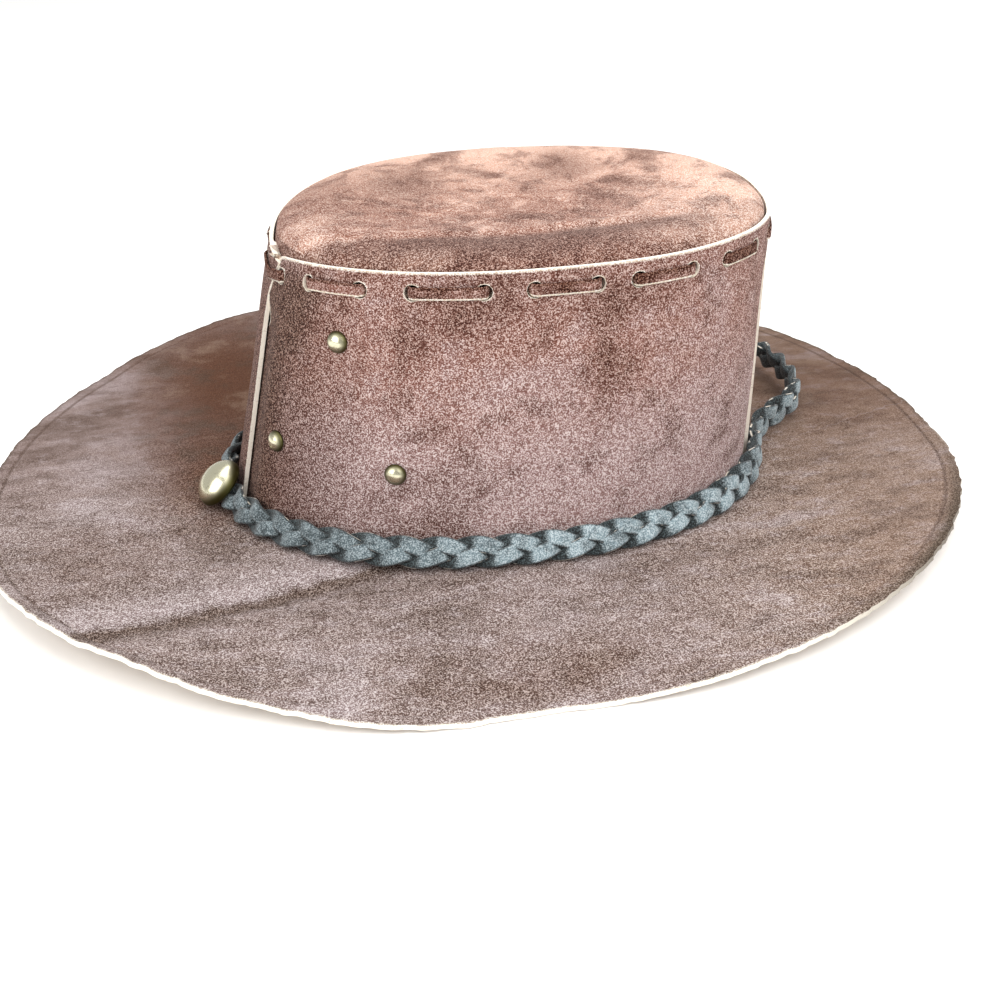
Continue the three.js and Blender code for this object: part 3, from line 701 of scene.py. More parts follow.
class Finish:
    """Node tree of one material, with short ways to add its nodes."""

    def __init__(self, name):
        self.material = bpy.data.materials.new(name)
        self.material.use_nodes = True
        self.tree = self.material.node_tree
        self.tree.nodes.clear()
        self.shader = self.add("ShaderNodeBsdfPrincipled")
        output = self.add("ShaderNodeOutputMaterial")
        self.join(self.shader.outputs["BSDF"], output.inputs["Surface"])
        self.place = self.add("ShaderNodeTexCoord").outputs["Object"]
        self.relief = None

    def add(self, kind):
        """A new node of a kind."""
        return self.tree.nodes.new(kind)

    def join(self, source, target):
        """Links a socket to a target, or sets a number or a colour on it."""
        if hasattr(source, "is_linked"):
            self.tree.links.new(source, target)
        elif isinstance(source, (int, float)):
            target.default_value = source
        else:
            target.default_value = (*source, 1)

    def noise(self, size, detail=3, roughness=0.55, stretch=(1, 1, 1), shift=(0, 0, 0), warp=0.0):
        """Noise with features about size across."""
        mapping = self.add("ShaderNodeMapping")
        self.join(self.place, mapping.inputs["Vector"])
        mapping.inputs["Location"].default_value = shift
        mapping.inputs["Scale"].default_value = stretch
        node = self.add("ShaderNodeTexNoise")
        self.join(mapping.outputs["Vector"], node.inputs["Vector"])
        node.inputs["Scale"].default_value = 1 / size
        node.inputs["Detail"].default_value = detail
        node.inputs["Roughness"].default_value = roughness
        node.inputs["Distortion"].default_value = warp
        return node.outputs["Fac"]

    def mark(self, name):
        """Value kept on the vertices of a sheet."""
        node = self.add("ShaderNodeAttribute")
        node.attribute_name = name
        return node.outputs["Fac"]

    def coordinate(self, axis):
        """Place along one of the hat's axes."""
        node = self.add("ShaderNodeSeparateXYZ")
        self.join(self.place, node.inputs[0])
        return node.outputs[axis]

    def spot(self, centre, radii):
        """1 at a centre, down to 0 at the radii from it along each axis."""
        mapping = self.add("ShaderNodeMapping")
        mapping.vector_type = "POINT"
        self.join(self.place, mapping.inputs["Vector"])
        mapping.inputs["Scale"].default_value = [1 / r for r in radii]
        mapping.inputs["Location"].default_value = [-c / r for c, r in zip(centre, radii)]
        node = self.add("ShaderNodeVectorMath")
        node.operation = "LENGTH"
        self.join(mapping.outputs["Vector"], node.inputs[0])
        return self.span(node.outputs["Value"], 1, 0.1)

    def span(self, value, low, high, start=0.0, end=1.0):
        """Smooth step from start at low to end at high."""
        node = self.add("ShaderNodeMapRange")
        node.interpolation_type = "SMOOTHSTEP"
        self.join(value, node.inputs["Value"])
        if low > high:
            low, high, start, end = high, low, end, start
        node.inputs["From Min"].default_value = low
        node.inputs["From Max"].default_value = high
        node.inputs["To Min"].default_value = start
        node.inputs["To Max"].default_value = end
        return node.outputs["Result"]

    def maths(self, kind, a, b=0.0):
        """Result of one kind of sum on one or two values."""
        node = self.add("ShaderNodeMath")
        node.operation = kind
        self.join(a, node.inputs[0])
        self.join(b, node.inputs[1])
        return node.outputs["Value"]

    def times(self, a, b):
        """Product of two values."""
        return self.maths("MULTIPLY", a, b)

    def blend(self, share, a, b):
        """Colour at a share of the way from a to b."""
        node = self.add("ShaderNodeMix")
        node.data_type = "RGBA"
        self.join(share, node.inputs[0])
        self.join(a, node.inputs[6])
        self.join(b, node.inputs[7])
        return node.outputs[2]

    def coat(self, colour, share, strength, other):
        """Lays another colour over one, where share is 1 as thickly as strength says."""
        return self.blend(self.times(share, strength), colour, other)

    def patches(self, colour, places, other):
        """Lays another colour over one at each place of a table."""
        for centre, radii, strength in places:
            colour = self.coat(colour, self.spot(centre, radii), strength, other)
        return colour

    def mottle(self, colour, size, strength, deep, pale, **shape):
        """Darker and paler clouds about size across."""
        value = self.noise(size, 5, 0.62, **shape)
        colour = self.coat(colour, self.span(value, 0.5, 0.34), strength, deep)
        return self.coat(colour, self.span(value, 0.52, 0.68), strength, pale)

    def bump(self, height, distance, strength):
        """Adds a relief to those before it."""
        node = self.add("ShaderNodeBump")
        node.inputs["Strength"].default_value = strength
        node.inputs["Distance"].default_value = distance
        self.join(height, node.inputs["Height"])
        if self.relief is not None:
            self.join(self.relief, node.inputs["Normal"])
        self.relief = node.outputs["Normal"]

    def done(self, colour, **values):
        """The material, with its colour and its other values set."""
        self.join(colour, self.shader.inputs["Base Color"])
        for name, value in values.items():
            self.join(value, self.shader.inputs[name.replace("_", " ")])
        if self.relief is not None:
            self.join(self.relief, self.shader.inputs["Normal"])
        return self.material


def napped(finish, colour, contrast, far=1.0, depth=1.0, grain=NAP_GRAIN):
    """Speckled nap of suede over a colour, with far as its share of contrast at the far side."""
    fine = finish.noise(grain, detail=1, roughness=0.5, warp=0.4)
    tuft = finish.noise(3 * grain, detail=2, roughness=0.6, shift=(0.3, 0.1, 0.2))
    nap = finish.maths("ADD", finish.times(fine, 0.8), finish.times(tuft, 0.2))
    shade = finish.span(nap, 0.38, 0.62, -contrast, contrast)
    if far != 1.0:
        shade = finish.times(shade, finish.span(finish.coordinate("Y"), -0.05, 0.07, 1.0, far))
        shade = finish.times(shade, finish.span(finish.coordinate("X"), 0.09, 0.16, 1.0, 0.55))
    tint = finish.add("ShaderNodeGamma")
    finish.join(colour, tint.inputs["Color"])
    finish.join(finish.maths("SUBTRACT", depth, shade), tint.inputs["Gamma"])
    finish.bump(nap, 0.0006, 0.8)
    return tint.outputs["Color"]


def wall_suede(colours):
    """Panels: clouded; paler and greyer below, partly painted light; darker at the front, partly painted
    shade of the side turned from the lights; painted shade along the top of the near side; with a dark
    strip beside the front seam.
    """
    finish = Finish("suede crown")
    # Paler and greyer towards the bottom: partly painted light on the lower panels, partly greyer leather
    sway = finish.times(finish.noise(0.05), -0.05)
    low = finish.span(finish.maths("ADD", finish.coordinate("Z"), sway), 0.055, 0.005)
    colour = finish.blend(low, colours.wall_body, colours.wall_pale)
    shades = (colours.wall_deep, colours.wall_pale)
    colour = finish.mottle(colour, 0.045, 0.45, *shades, warp=0.5)
    colour = finish.mottle(colour, 0.013, 0.4, *shades, shift=(0.7, 0.2, 0.4))
    # Darker towards the front: partly painted shade of the side turned away from the lights, partly the
    # leather's darker red-brown tone
    front = finish.span(finish.coordinate("X"), -0.035, -0.088)
    colour = finish.coat(colour, front, 0.95, colours.wall_deep)
    # Painted shade along the top of the near panel, and a darker place low towards the front
    colour = finish.patches(colour, WALL_SHADES, colours.wall_deep)
    colour = finish.coat(colour, finish.mark("smooth"), 0.9, colours.seam_strip)
    edge = finish.span(finish.mark("edge"), 0.0011, 0.0002)
    colour = finish.coat(colour, edge, 0.7, colours.raw)
    colour = napped(finish, colour, 0.65, depth=1.18)
    return finish.done(colour, Roughness=0.92, **DULL)


def top_suede(colours):
    """Top: paler towards the far side and the back, dark in blots, and darker on its near shoulder, partly
    painted shade and partly the leather's tone.
    """
    finish = Finish("suede top")
    far = finish.span(finish.coordinate("Y"), -0.02, 0.06)
    far = finish.maths("MAXIMUM", far, finish.span(finish.coordinate("X"), 0.04, 0.1))
    colour = finish.blend(far, colours.top_body, colours.top_pale)
    shades = (colours.top_deep, colours.top_pale)
    colour = finish.mottle(colour, 0.035, 0.6, *shades, warp=0.8, shift=(0.2, 0.9, 0.1))
    colour = finish.mottle(colour, 0.011, 0.5, *shades, warp=0.5)
    # Darker near shoulder below the crease: partly the leather's tone, partly painted shade of the shoulder
    # turned from the light
    patchy = finish.span(finish.noise(0.012, 4, 0.6, shift=(0.1, 0.5, 0.3)), 0.3, 0.6, 1.0, 0.55)
    shade = finish.times(finish.mark("shade"), patchy)
    right = finish.span(finish.coordinate("X"), 0.03, 0.09, 1.0, 0.45)
    colour = finish.coat(colour, shade, right, colours.top_deep)
    colour = finish.patches(colour, TOP_BLOTS_AND_SHADE, colours.top_deep)
    colour = napped(finish, colour, 0.62, 0.3, 1.16)
    return finish.done(colour, Roughness=0.9, **DULL)


def brim_suede(colours, crease_inset):
    """Brim: streaked along its length, brown in places and with the painted shadow of the crown at the
    front, tan at the back, with painted shade in its fold and painted light on the slope beyond it.
    """
    finish = Finish("suede brim")
    shades = (colours.brim_deep, colours.brim_pale)
    colour = finish.mottle(colours.brim_body, 0.06, 0.6, *shades, warp=0.5)
    back = finish.span(finish.coordinate("X"), 0.02, 0.14, 0.0, 0.75)
    colour = finish.blend(back, colour, colours.brim_tan)
    colour = finish.mottle(colour, 0.018, 0.5, *shades, stretch=(0.55, 1.4, 1))
    colour = finish.mottle(colour, 0.006, 0.35, *shades, stretch=(0.7, 1.2, 1))
    # Brown for the brown places, also the painted shadow of the crown on the brim at the front
    brown = finish.mottle(colours.brim_brown, 0.02, 0.5, colours.burnt, colours.brim_tan)
    colour = finish.patches(colour, BRIM_BROWNS_AND_CROWN_SHADOW, brown)
    # Painted shade in the crease of the fold, and painted light on the slope beyond it towards the near
    # edge
    sway = finish.times(finish.maths("SUBTRACT", finish.noise(0.012), 0.5), 0.012)
    fold = finish.maths("ADD", finish.mark("fold"), sway)
    line = finish.span(finish.maths("ABSOLUTE", fold), 0.009, 0.001)
    colour = finish.coat(colour, line, 0.95, colours.brim_deep)
    beyond = finish.times(finish.span(fold, 0.03, 0.006), finish.span(fold, 0.001, 0.006))
    colour = finish.coat(colour, beyond, 0.5, colours.brim_pale)
    edge = finish.mark("edge")
    from_crease = finish.maths("ABSOLUTE", finish.maths("SUBTRACT", edge, crease_inset))
    crease = finish.span(from_crease, 0.0012, 0.0002)
    ends = finish.span(finish.maths("ABSOLUTE", finish.coordinate("X")), 0.1, 0.165, 0.1, 0.6)
    colour = finish.coat(colour, crease, ends, colours.brim_deep)
    burnt = finish.spot(*BURNT)
    strip = finish.times(finish.span(edge, 0.006, 0.001), burnt)
    colour = finish.coat(colour, strip, 0.9, colours.burnt)
    near = finish.span(finish.coordinate("Y"), 0.0, -0.05)
    dark = finish.times(finish.span(edge, 0.0018, 0.0), finish.maths("SUBTRACT", 1.0, near))
    colour = finish.coat(colour, dark, 0.6, colours.burnt)
    pale = finish.times(near, finish.span(burnt, 0.4, 0.0))
    fringe = finish.times(finish.span(edge, 0.0012, 0.0), pale)
    colour = finish.coat(colour, fringe, 0.5, colours.raw)
    colour = napped(finish, colour, 0.6, 0.2, 1.13)
    return finish.done(colour, Roughness=0.92, **DULL)


def flesh_side(colours):
    """Rough inside and underside of the leather."""
    finish = Finish("flesh side")
    fibres = finish.noise(0.004, 4, 0.65, warp=1.2)
    colour = finish.blend(finish.span(fibres, 0.35, 0.7), colours.flesh, colours.raw)
    colour = napped(finish, colour, 0.12, grain=0.0014)
    return finish.done(colour, Roughness=0.95, Sheen_Weight=0.2)


def raw_edge(colours):
    """Pale fibres of the cut edges, burnished along one stretch of the brim."""
    finish = Finish("cut edge")
    fibres = finish.noise(0.0025, 3, 0.6, stretch=(1, 1, 3))
    colour = finish.blend(finish.span(fibres, 0.2, 0.42), colours.flesh, colours.raw)
    colour = finish.coat(colour, finish.spot(*BURNT), 0.85, colours.burnt)
    finish.bump(fibres, 0.0003, 0.5)
    return finish.done(colour, Roughness=0.95)


def leather(outside, colours):
    """Finishes of a thickened sheet: its outside, its flesh side and its cut edges."""
    return [outside, flesh_side(colours), raw_edge(colours)]


def lace_suede(colours):
    """Lace: clouded, in shade along its upper edge, with a pale cut lower edge, darker at the front, partly
    painted shade like the panels.
    """
    finish = Finish("suede lace")
    clouds = finish.span(finish.noise(0.02, 3, 0.6), 0.4, 0.62)
    colour = finish.blend(clouds, colours.wall_deep, colours.wall_body)
    upper = finish.span(finish.mark("across"), 0.5, 0.75)
    colour = finish.coat(colour, upper, 0.9, colours.wall_deep)
    lower = finish.span(finish.mark("across"), -0.6, -0.75)
    colour = finish.coat(colour, lower, 0.8, colours.raw)
    # Darker at the front like the panels: partly painted shade of the side turned from the lights, partly
    # darker leather
    front = finish.span(finish.coordinate("X"), -0.068, -0.078)
    colour = finish.coat(colour, front, 0.75, colours.wall_deep)
    colour = napped(finish, colour, 0.62, depth=1.2)
    return finish.done(colour, Roughness=0.92, Specular_IOR_Level=0.15)


def braid_suede(colours):
    """Strands: clouded, painted shade where they dive under each other, along their edges and at the front,
    full colour where they lie on top, with pale cut edges that stand in for highlights at the sides.
    """
    finish = Finish("braid")
    clouds = finish.span(finish.noise(0.007, 4, 0.6), 0.35, 0.6, 0.45, 1.0)
    # Painted shade on the front of the band, turned away from the lights
    front = finish.span(finish.coordinate("X"), 0.03, -0.08, 1.0, 0.4)
    # Painted shade where a strand dives under the others and along its edges, in the crevices between
    # strands
    high = finish.span(finish.mark("low"), 0.15, -0.55, 0.0, 1.0)
    inner = finish.span(finish.mark("across"), 1.0, 0.72, 0.0, 1.0)
    bright = finish.times(finish.times(clouds, front), finish.times(high, inner))
    colour = finish.blend(bright, colours.braid_deep, colours.braid)
    # Pale cut edges of the strands in thin broken lines, which also stand in for their painted highlights
    side = finish.span(finish.mark("across"), 0.94, 1.0)
    worn = finish.span(finish.noise(0.005, 2, 0.5, shift=(0.5, 0.5, 0.1)), 0.54, 0.6)
    colour = finish.coat(colour, side, worn, colours.raw)
    colour = napped(finish, colour, 0.45, depth=1.12)
    return finish.done(colour, Roughness=0.85, Sheen_Weight=0.2)


def aged_brass(name, colours, roughness, rim_start):
    """Metal with light stains, tarnished from rim_start of its radius outwards."""
    finish = Finish(name)
    stain = finish.span(finish.noise(0.004, 4, 0.65, warp=0.8), 0.5, 0.72)
    rim = finish.span(finish.mark("rim"), rim_start, 1.0)
    dark = finish.maths("MAXIMUM", finish.times(stain, 0.3), rim)
    colour = finish.blend(dark, colours.brass, colours.tarnish)
    rough = finish.span(dark, 0, 1, roughness, roughness + 0.25)
    finish.bump(finish.noise(0.0009, 3, 0.6), 0.0001, 0.2)
    return finish.done(colour, Metallic=1.0, Roughness=rough)


def hat_settings(context):
    """Scene that holds the settings, and the crown that they give."""
    return context.scene, Crown(context.scene.hat_crown)


class HAT_OT_panels(bpy.types.Operator):
    """Make the two panels of the crown, parted at their seams and punched for lace and studs"""

    bl_idname = "hat.panels"
    bl_label = "Crown panels"

    COLUMNS = {"left": 190, "right": 220}
    ROWS = 74
    # Places, in lap depths above the rim, where the left panel starts to go under and is fully under
    UNDER = (-1, -1.25)
    # Dark strip beside the front seam: lengths past the lap, and shares of the height, at which it
    # is gone and is full
    STRIP = (0.026, 0.013)
    STRIP_TOP = (1, 0.9)
    # Size across of the panels' waves, and the length from the seams over which they grow
    WAVE_SIZE = 0.035
    WAVE_START = 0.02
    # Turn and height of a point depend on each other, and are worked out in turns
    TRIES = 4

    def execute(self, context):
        scene, crown = hat_settings(context)
        lacing = Lacing(crown, scene.hat_top)
        finishes = leather(wall_suede(scene.hat_colours), scene.hat_colours)
        for side in ("left", "right"):
            bm = self.panel(crown, side)
            punch(bm, lacing.holes(), scene.hat_top.hole_radius, crown.wall * 3)
            posts = [crown.frame(angle, height) for _, angle, height in stud_places(crown)]
            punch(bm, posts, scene.hat_metal.stud_post + crown.fit, crown.wall * 3)
            face_away(bm, crown.core)
            piece = piece_from(f"panel_{side}", bm, finishes, "suede_crown", f"wall_{side}")
            thicken(piece, crown.skived)
        return {"FINISHED"}

    def panel(self, crown, side):
        """Sheet of the left or the right panel."""

        def edges(height):
            """Turns at which the panel starts and ends at a height."""
            ends = []
            for seam, way, share in ((crown.seam_front, 1, 1), (crown.seam_back, -1, crown.back_notch)):
                above = (height - crown.rim_height(seam)) / crown.lap_depth
                past = crown.notch_width * table_value(SEAM_EDGES, "above", above, "left")
                if side == "left":
                    past -= (crown.lap / share) * smooth(*self.UNDER, above)
                else:
                    past -= crown.notch_width * table_value(SEAM_EDGES, "above", above, "open") + crown.fit
                ends.append(seam + way * share * past / crown.rim_length)
            if side == "left":
                return ends[0], ends[1]
            return ends[1] - FULL_TURN, ends[0]

        def place(u, v):
            angle = mix(*edges(0), u)
            for _ in range(self.TRIES):
                height = v * crown.rim_height(angle)
                angle = mix(*edges(height), u)
            rim = crown.rim_height(angle)
            height = v * rim
            inset = 0
            if side == "left":
                inset = crown.lap_inset(angle) * smooth(crown.butt_depth, crown.lap_depth, rim - height)
            point = crown.point(angle, height, -inset)
            starts, stops = edges(height)
            ends = min(angle - starts, stops - angle) * crown.rim_length
            wave = crown.slack * ripple(point, self.WAVE_SIZE) * smooth(0, self.WAVE_START, ends)
            point = crown.point(angle, height, wave - inset)
            strip = 0
            if side == "left":
                strip = smooth(*self.STRIP, abs(angle - starts) * crown.rim_length - crown.lap)
            return point, min(ends, rim - height), strip * smooth(*self.STRIP_TOP, v)

        return sheet(self.COLUMNS[side], self.ROWS, place, ("edge", "smooth"))


class HAT_OT_top(bpy.types.Operator):
    """Make the moulded top, with a rounded shoulder and a shallow sunken middle"""

    bl_idname = "hat.top"
    bl_label = "Crown top"

    COLUMNS = 300
    MIDDLE_ROWS = 38
    SHOULDER_ROWS = 14
    SKIRT_ROWS = 8
    FLATTENED_ROWS = 6
    # Crease of the near shoulder: its place across the hat, where it starts to bend and how sharply,
    # behind and in front, and its depth
    CREASE_SIDE = -0.046
    BACK_BEND = (0.01, 2.2)
    FRONT_BEND = (-0.02, 4.0)
    CREASE_DEPTH = 0.0012
    # Waves of the crease, dents and folds: how far they move the leather, and their size across
    CREASE_SWAY = (0.003, 0.03)
    SOFT_DENTS = (0.0011, 0.045)
    SMALL_DENTS = (0.0005, 0.02)
    FOLDS = (0.0009, 0.009)

    def execute(self, context):
        scene, crown = hat_settings(context)
        sizes = scene.hat_top
        inset = crown.wall + crown.fit
        shoulder = self.MIDDLE_ROWS + self.SHOULDER_ROWS
        rows = shoulder + self.SKIRT_ROWS

        def place(u, v):
            angle = u * FULL_TURN
            row = v * rows
            if row <= self.MIDDLE_ROWS:
                share = row / self.MIDDLE_ROWS
                edge = crown.point(angle, crown.height, -(inset + sizes.reach))
                centre = Vector((crown.axis.x + crown.rim_set_back, crown.axis.y, edge.z))
                point = centre.lerp(edge, share)
                point.z += sizes.rise - sizes.sink * (1 - share**2)
            elif row <= shoulder:
                bend = (shoulder - row) / self.SHOULDER_ROWS * math.pi / 2
                height = crown.height - sizes.shoulder_start
                height += (sizes.shoulder_start + sizes.rise) * math.sin(bend)
                point = crown.point(angle, height, -inset - sizes.reach * (1 - math.cos(bend)))
            else:
                share = (row - shoulder) / self.SKIRT_ROWS
                start = crown.height - sizes.shoulder_start
                hem = crown.rim_height(angle) - sizes.skirt
                return crown.point(angle, mix(start, hem, share), -inset), 1
            dent, shade = self.relief(point)
            point.z += dent * smooth(shoulder, self.MIDDLE_ROWS - self.FLATTENED_ROWS, row)
            return point, shade

        bm = sheet(self.COLUMNS, rows, place, ("shade",), closed=True)
        lacing = Lacing(crown, sizes)
        punch(bm, lacing.holes(), sizes.hole_radius, crown.wall * 3)
        face_away(bm, crown.core)
        finishes = leather(top_suede(scene.hat_colours), scene.hat_colours)
        piece = piece_from("crown_top", bm, finishes, "suede_top", "top")
        thicken(piece, sizes.thickness)
        return {"FINISHED"}

    def relief(self, point):
        """Soft dents of the worn top, and how far a point lies on its near shoulder, which is painted
        darker, partly as shade.
        """
        flat = Vector((point.x, point.y, 0))
        bend, sharpness = self.BACK_BEND
        crease = self.CREASE_SIDE + sharpness * max(flat.x - bend, 0) ** 2
        bend, sharpness = self.FRONT_BEND
        crease += sharpness * min(flat.x - bend, 0) ** 2
        crease += waves(flat, *self.CREASE_SWAY)
        beyond = crease - flat.y
        dent = waves(flat, *self.SOFT_DENTS) + waves(flat + Vector((0.2, 0, 0)), *self.SMALL_DENTS)
        dent -= self.CREASE_DEPTH * smooth(-0.003, 0.002, beyond) * smooth(0.03, 0.01, beyond)
        folds = smooth(0.01, 0.035, flat.x) * bell(beyond, 0.016)
        slanted = Vector((flat.x * 0.35 + flat.y * 0.2, flat.y, 0))
        height, size = self.FOLDS
        dent += height * folds * ripple(slanted, size)
        return dent, smooth(-0.001, 0.006, beyond)


class HAT_OT_lace(bpy.types.Operator):
    """Make the lace that runs in and out of the punched holes round the crown"""

    bl_idname = "hat.lace"
    bl_label = "Lace"

    RUN_STEPS = 12
    ROUND = 12
    # Length over which the lace turns into a hole, as a share of its thickness
    BEND = 1.6
    # Way through a hole: share of the bend past the hole, and share of the way inwards
    CROSSING = ((-0.3, 0.12), (0.0, 0.35), (0.3, 0.85))
    # How square the lace's section is across and through, 1 being round
    SECTION = (0.45, 0.6)

    def stations(self, lacing, sizes, outside, inside):
        """Lengths along the lace's line, with how far out of the crown's face it lies at each."""
        bend = self.BEND * sizes.lace_thickness
        for i, (start, end) in enumerate(lacing.runs):
            following = lacing.runs[(i + 1) % len(lacing.runs)][0] - sizes.lace_reach
            if i + 1 == len(lacing.runs):
                following += lacing.line.length
            start -= sizes.lace_reach
            end += sizes.lace_reach
            for k in range(self.RUN_STEPS + 1):
                yield mix(start + bend, end - bend, k / self.RUN_STEPS), outside
            for past, share in self.CROSSING:
                yield end + past * bend, mix(outside, inside, share)
            for k in range(1, self.RUN_STEPS):
                yield mix(end + bend, following - bend, k / self.RUN_STEPS), inside
            for past, share in reversed(self.CROSSING):
                yield following - past * bend, mix(outside, inside, share)

    def execute(self, context):
        scene, crown = hat_settings(context)
        sizes = scene.hat_top
        lacing = Lacing(crown, sizes)
        half = sizes.lace_thickness / 2
        behind = -(crown.wall + crown.fit + sizes.thickness + crown.fit + half)
        stations = list(self.stations(lacing, sizes, half, behind))
        count = len(stations)

        @functools.lru_cache(maxsize=None)
        def middle(i):
            distance, offset = stations[i % count]
            angle = lacing.line.turn_at(distance)
            return crown.point(angle, lacing.height(angle), offset)

        def place(u, v):
            i = round(u * count)
            along = (middle(i + 1) - middle(i - 1)).normalized()
            up = Vector((0, 0, 1))
            up = (up - along * up.dot(along)).normalized()
            normal = along.cross(up)
            across, through = strip_section(v * FULL_TURN, *self.SECTION)
            point = middle(i) + up * across * sizes.lace_width / 2 + normal * through * half
            return point, across

        bm = sheet(count, self.ROUND, place, ("across",), closed=True)
        bmesh.ops.recalc_face_normals(bm, faces=bm.faces)
        piece_from("lace_strip", bm, [lace_suede(scene.hat_colours)], "suede_lace", "lace")
        return {"FINISHED"}


class HAT_OT_brim(bpy.types.Operator):
    """Make the wide brim with its raw cut edge, pressed line and fold"""

    bl_idname = "hat.brim"
    bl_label = "Brim"

    COLUMNS = 540
    UPSTAND_ROWS = 5
    ROWS = 36
    # Distances from the edge of the rows of vertices near it, close together at the pressed line
    EDGE_ROWS = (
        *(0.0085, 0.0073, 0.0067, 0.0062, 0.0058, 0.0055, 0.0052, 0.0048),
        *(0.0043, 0.0035, 0.0027, 0.0018, 0.001, 0.0004, 0),
    )
    # Share of the whole turn each side over which the margin clears the laps of the panels
    CLEARING = 1 / 64
    # Frayed edge: share and size across of its waves, and the distance over which they end
    FRAYS = ((1, 0.006), (0.6, 0.0025))
    FRAY_REACH = 0.006
    # Curled stretch of the edge: its turn, half width and reach from the edge
    CURL_TURN = math.radians(222)
    CURL_WIDTH = 0.3
    CURL_REACH = 0.007
    WAVE_SIZE = 0.03
    # Added to the fold's mark far from the fold, so that nothing is coloured by it there
    OFF_FOLD = 0.05

    def execute(self, context):
        scene, crown = hat_settings(context)
        sizes = scene.hat_brim
        brim = Brim(crown, sizes)
        inner = self.UPSTAND_ROWS + 1
        outer = inner + self.ROWS
        rows = outer + len(self.EDGE_ROWS) - 1
        step = FULL_TURN * self.CLEARING

        @functools.lru_cache(maxsize=None)
        def column(i):
            angle = FULL_TURN * i / self.COLUMNS
            inset = crown.wall + crown.fit
            inset += max(crown.lap_inset(angle + shift) for shift in (-step, 0, step))
            width = (brim.edge(angle)[0] - oval_point(crown.foot, angle)).length
            return angle, inset, width

        def place(u, v):
            angle, inset, width = column(round(u * self.COLUMNS) % self.COLUMNS)
            row = round(v * rows)
            if row < self.UPSTAND_ROWS:
                return crown.point(angle, brim.upstand * (1 - row / self.UPSTAND_ROWS), -inset), 1, 1
            if row == self.UPSTAND_ROWS:
                point = crown.point(angle, 0, -inset)
                point.z = brim.root_lift + brim.thickness
                return point, 1, 1
            if row <= outer:
                share = (row - inner) / self.ROWS * (1 - self.EDGE_ROWS[0] / width)
            else:
                share = 1 - self.EDGE_ROWS[row - outer] / width
            distance = (1 - share) * width
            point = brim.under(angle, share)
            fold = brim.fold_side(point)
            level = point.z + brim.thickness
            point.z = 0
            outwards = (point - oval_point(crown.foot, angle)).normalized() if share > 0 else Vector()
            frayed = sum(waves(point, *fray) for fray in self.FRAYS)
            point += outwards * brim.ragged * frayed * smooth(self.FRAY_REACH, 0, distance)
            near = brim.near_fold(angle)
            crease = smooth(0, 1, near) * brim.line_depth * bell(fold, brim.line_width)
            level -= crease * smooth(0, 0.2, share)
            level -= brim.crease_depth * bell(distance - brim.crease_inset, brim.crease_width)
            curl = brim.curl * smooth(self.CURL_REACH, 0, distance)
            level += curl * bell(angle - self.CURL_TURN, self.CURL_WIDTH)
            level += waves(point, brim.slack, self.WAVE_SIZE) * smooth(0, 0.15, share)
            point.z = max(level, brim.thickness)
            off = self.OFF_FOLD * smooth(0.6, 0.2, near)
            return point + crown.axis, distance, fold + math.copysign(off, fold)

        bm = sheet(self.COLUMNS, rows, place, ("edge", "fold"), closed=True)
        face_away(bm, Vector((0, 0, -1)))
        finishes = leather(brim_suede(scene.hat_colours, sizes.crease_inset), scene.hat_colours)
        piece = piece_from("brim_leather", bm, finishes, "suede_brim", "brim")
        thicken(piece, sizes.thickness)
        return {"FINISHED"}


class HAT_OT_band(bpy.types.Operator):
    """Plait three flat strands round the foot of the crown, with a slack loop at the back"""

    bl_idname = "hat.band"
    bl_label = "Braided band"

    STRANDS = 3
    STEPS = 32
    ROUND = 14
    # How square a strand's section is across and through, 1 being round
    SECTION = (0.6, 0.5)

    def execute(self, context):
        scene, crown = hat_settings(context)
        band = Band(crown, scene.hat_band)
        sections = band.repeats * self.STEPS
        frames = []
        for i in range(sections):
            frames.append(band.frame(band.line.turn_at(i / sections * band.line.length)))
        swing = (band.width - band.strand_width) / 2
        depth = (band.thickness - band.strand_thickness) / 2
        finish = braid_suede(scene.hat_colours)
        for number in range(self.STRANDS):
            start = FULL_TURN * number / self.STRANDS

            @functools.lru_cache(maxsize=None)
            def middle(i):
                phase = FULL_TURN * i / self.STEPS + start
                place = Vector((0, swing * math.sin(phase), -depth * math.sin(2 * phase)))
                return frames[i % sections] @ place

            def place(u, v):
                i = round(u * sections) % sections
                out = frames[i].to_3x3().col[2]
                along = (middle(i + 1) - middle(i - 1)).normalized()
                across = out.cross(along).normalized()
                normal = along.cross(across)
                side, through = strip_section(v * FULL_TURN, *self.SECTION)
                point = middle(i) + across * side * band.strand_width / 2
                low = math.sin(2 * (FULL_TURN * i / self.STEPS + start))
                return point + normal * through * band.strand_thickness / 2, abs(side), low

            bm = sheet(sections, self.ROUND, place, ("across", "low"), closed=True)
            bmesh.ops.recalc_face_normals(bm, faces=bm.faces)
            piece_from(f"braid_strand_{number + 1}", bm, [finish], "braid", "hatband")
        return {"FINISHED"}


def stud_places(crown):
    """Name, turn and height of each stud, the right ones mirrored."""
    for i, (degrees, share) in enumerate(STUD_PLACES, start=1):
        angle = math.radians(degrees)
        yield f"left_{i}", angle, share * crown.height
        yield f"right_{i}", FULL_TURN - angle, share * crown.height


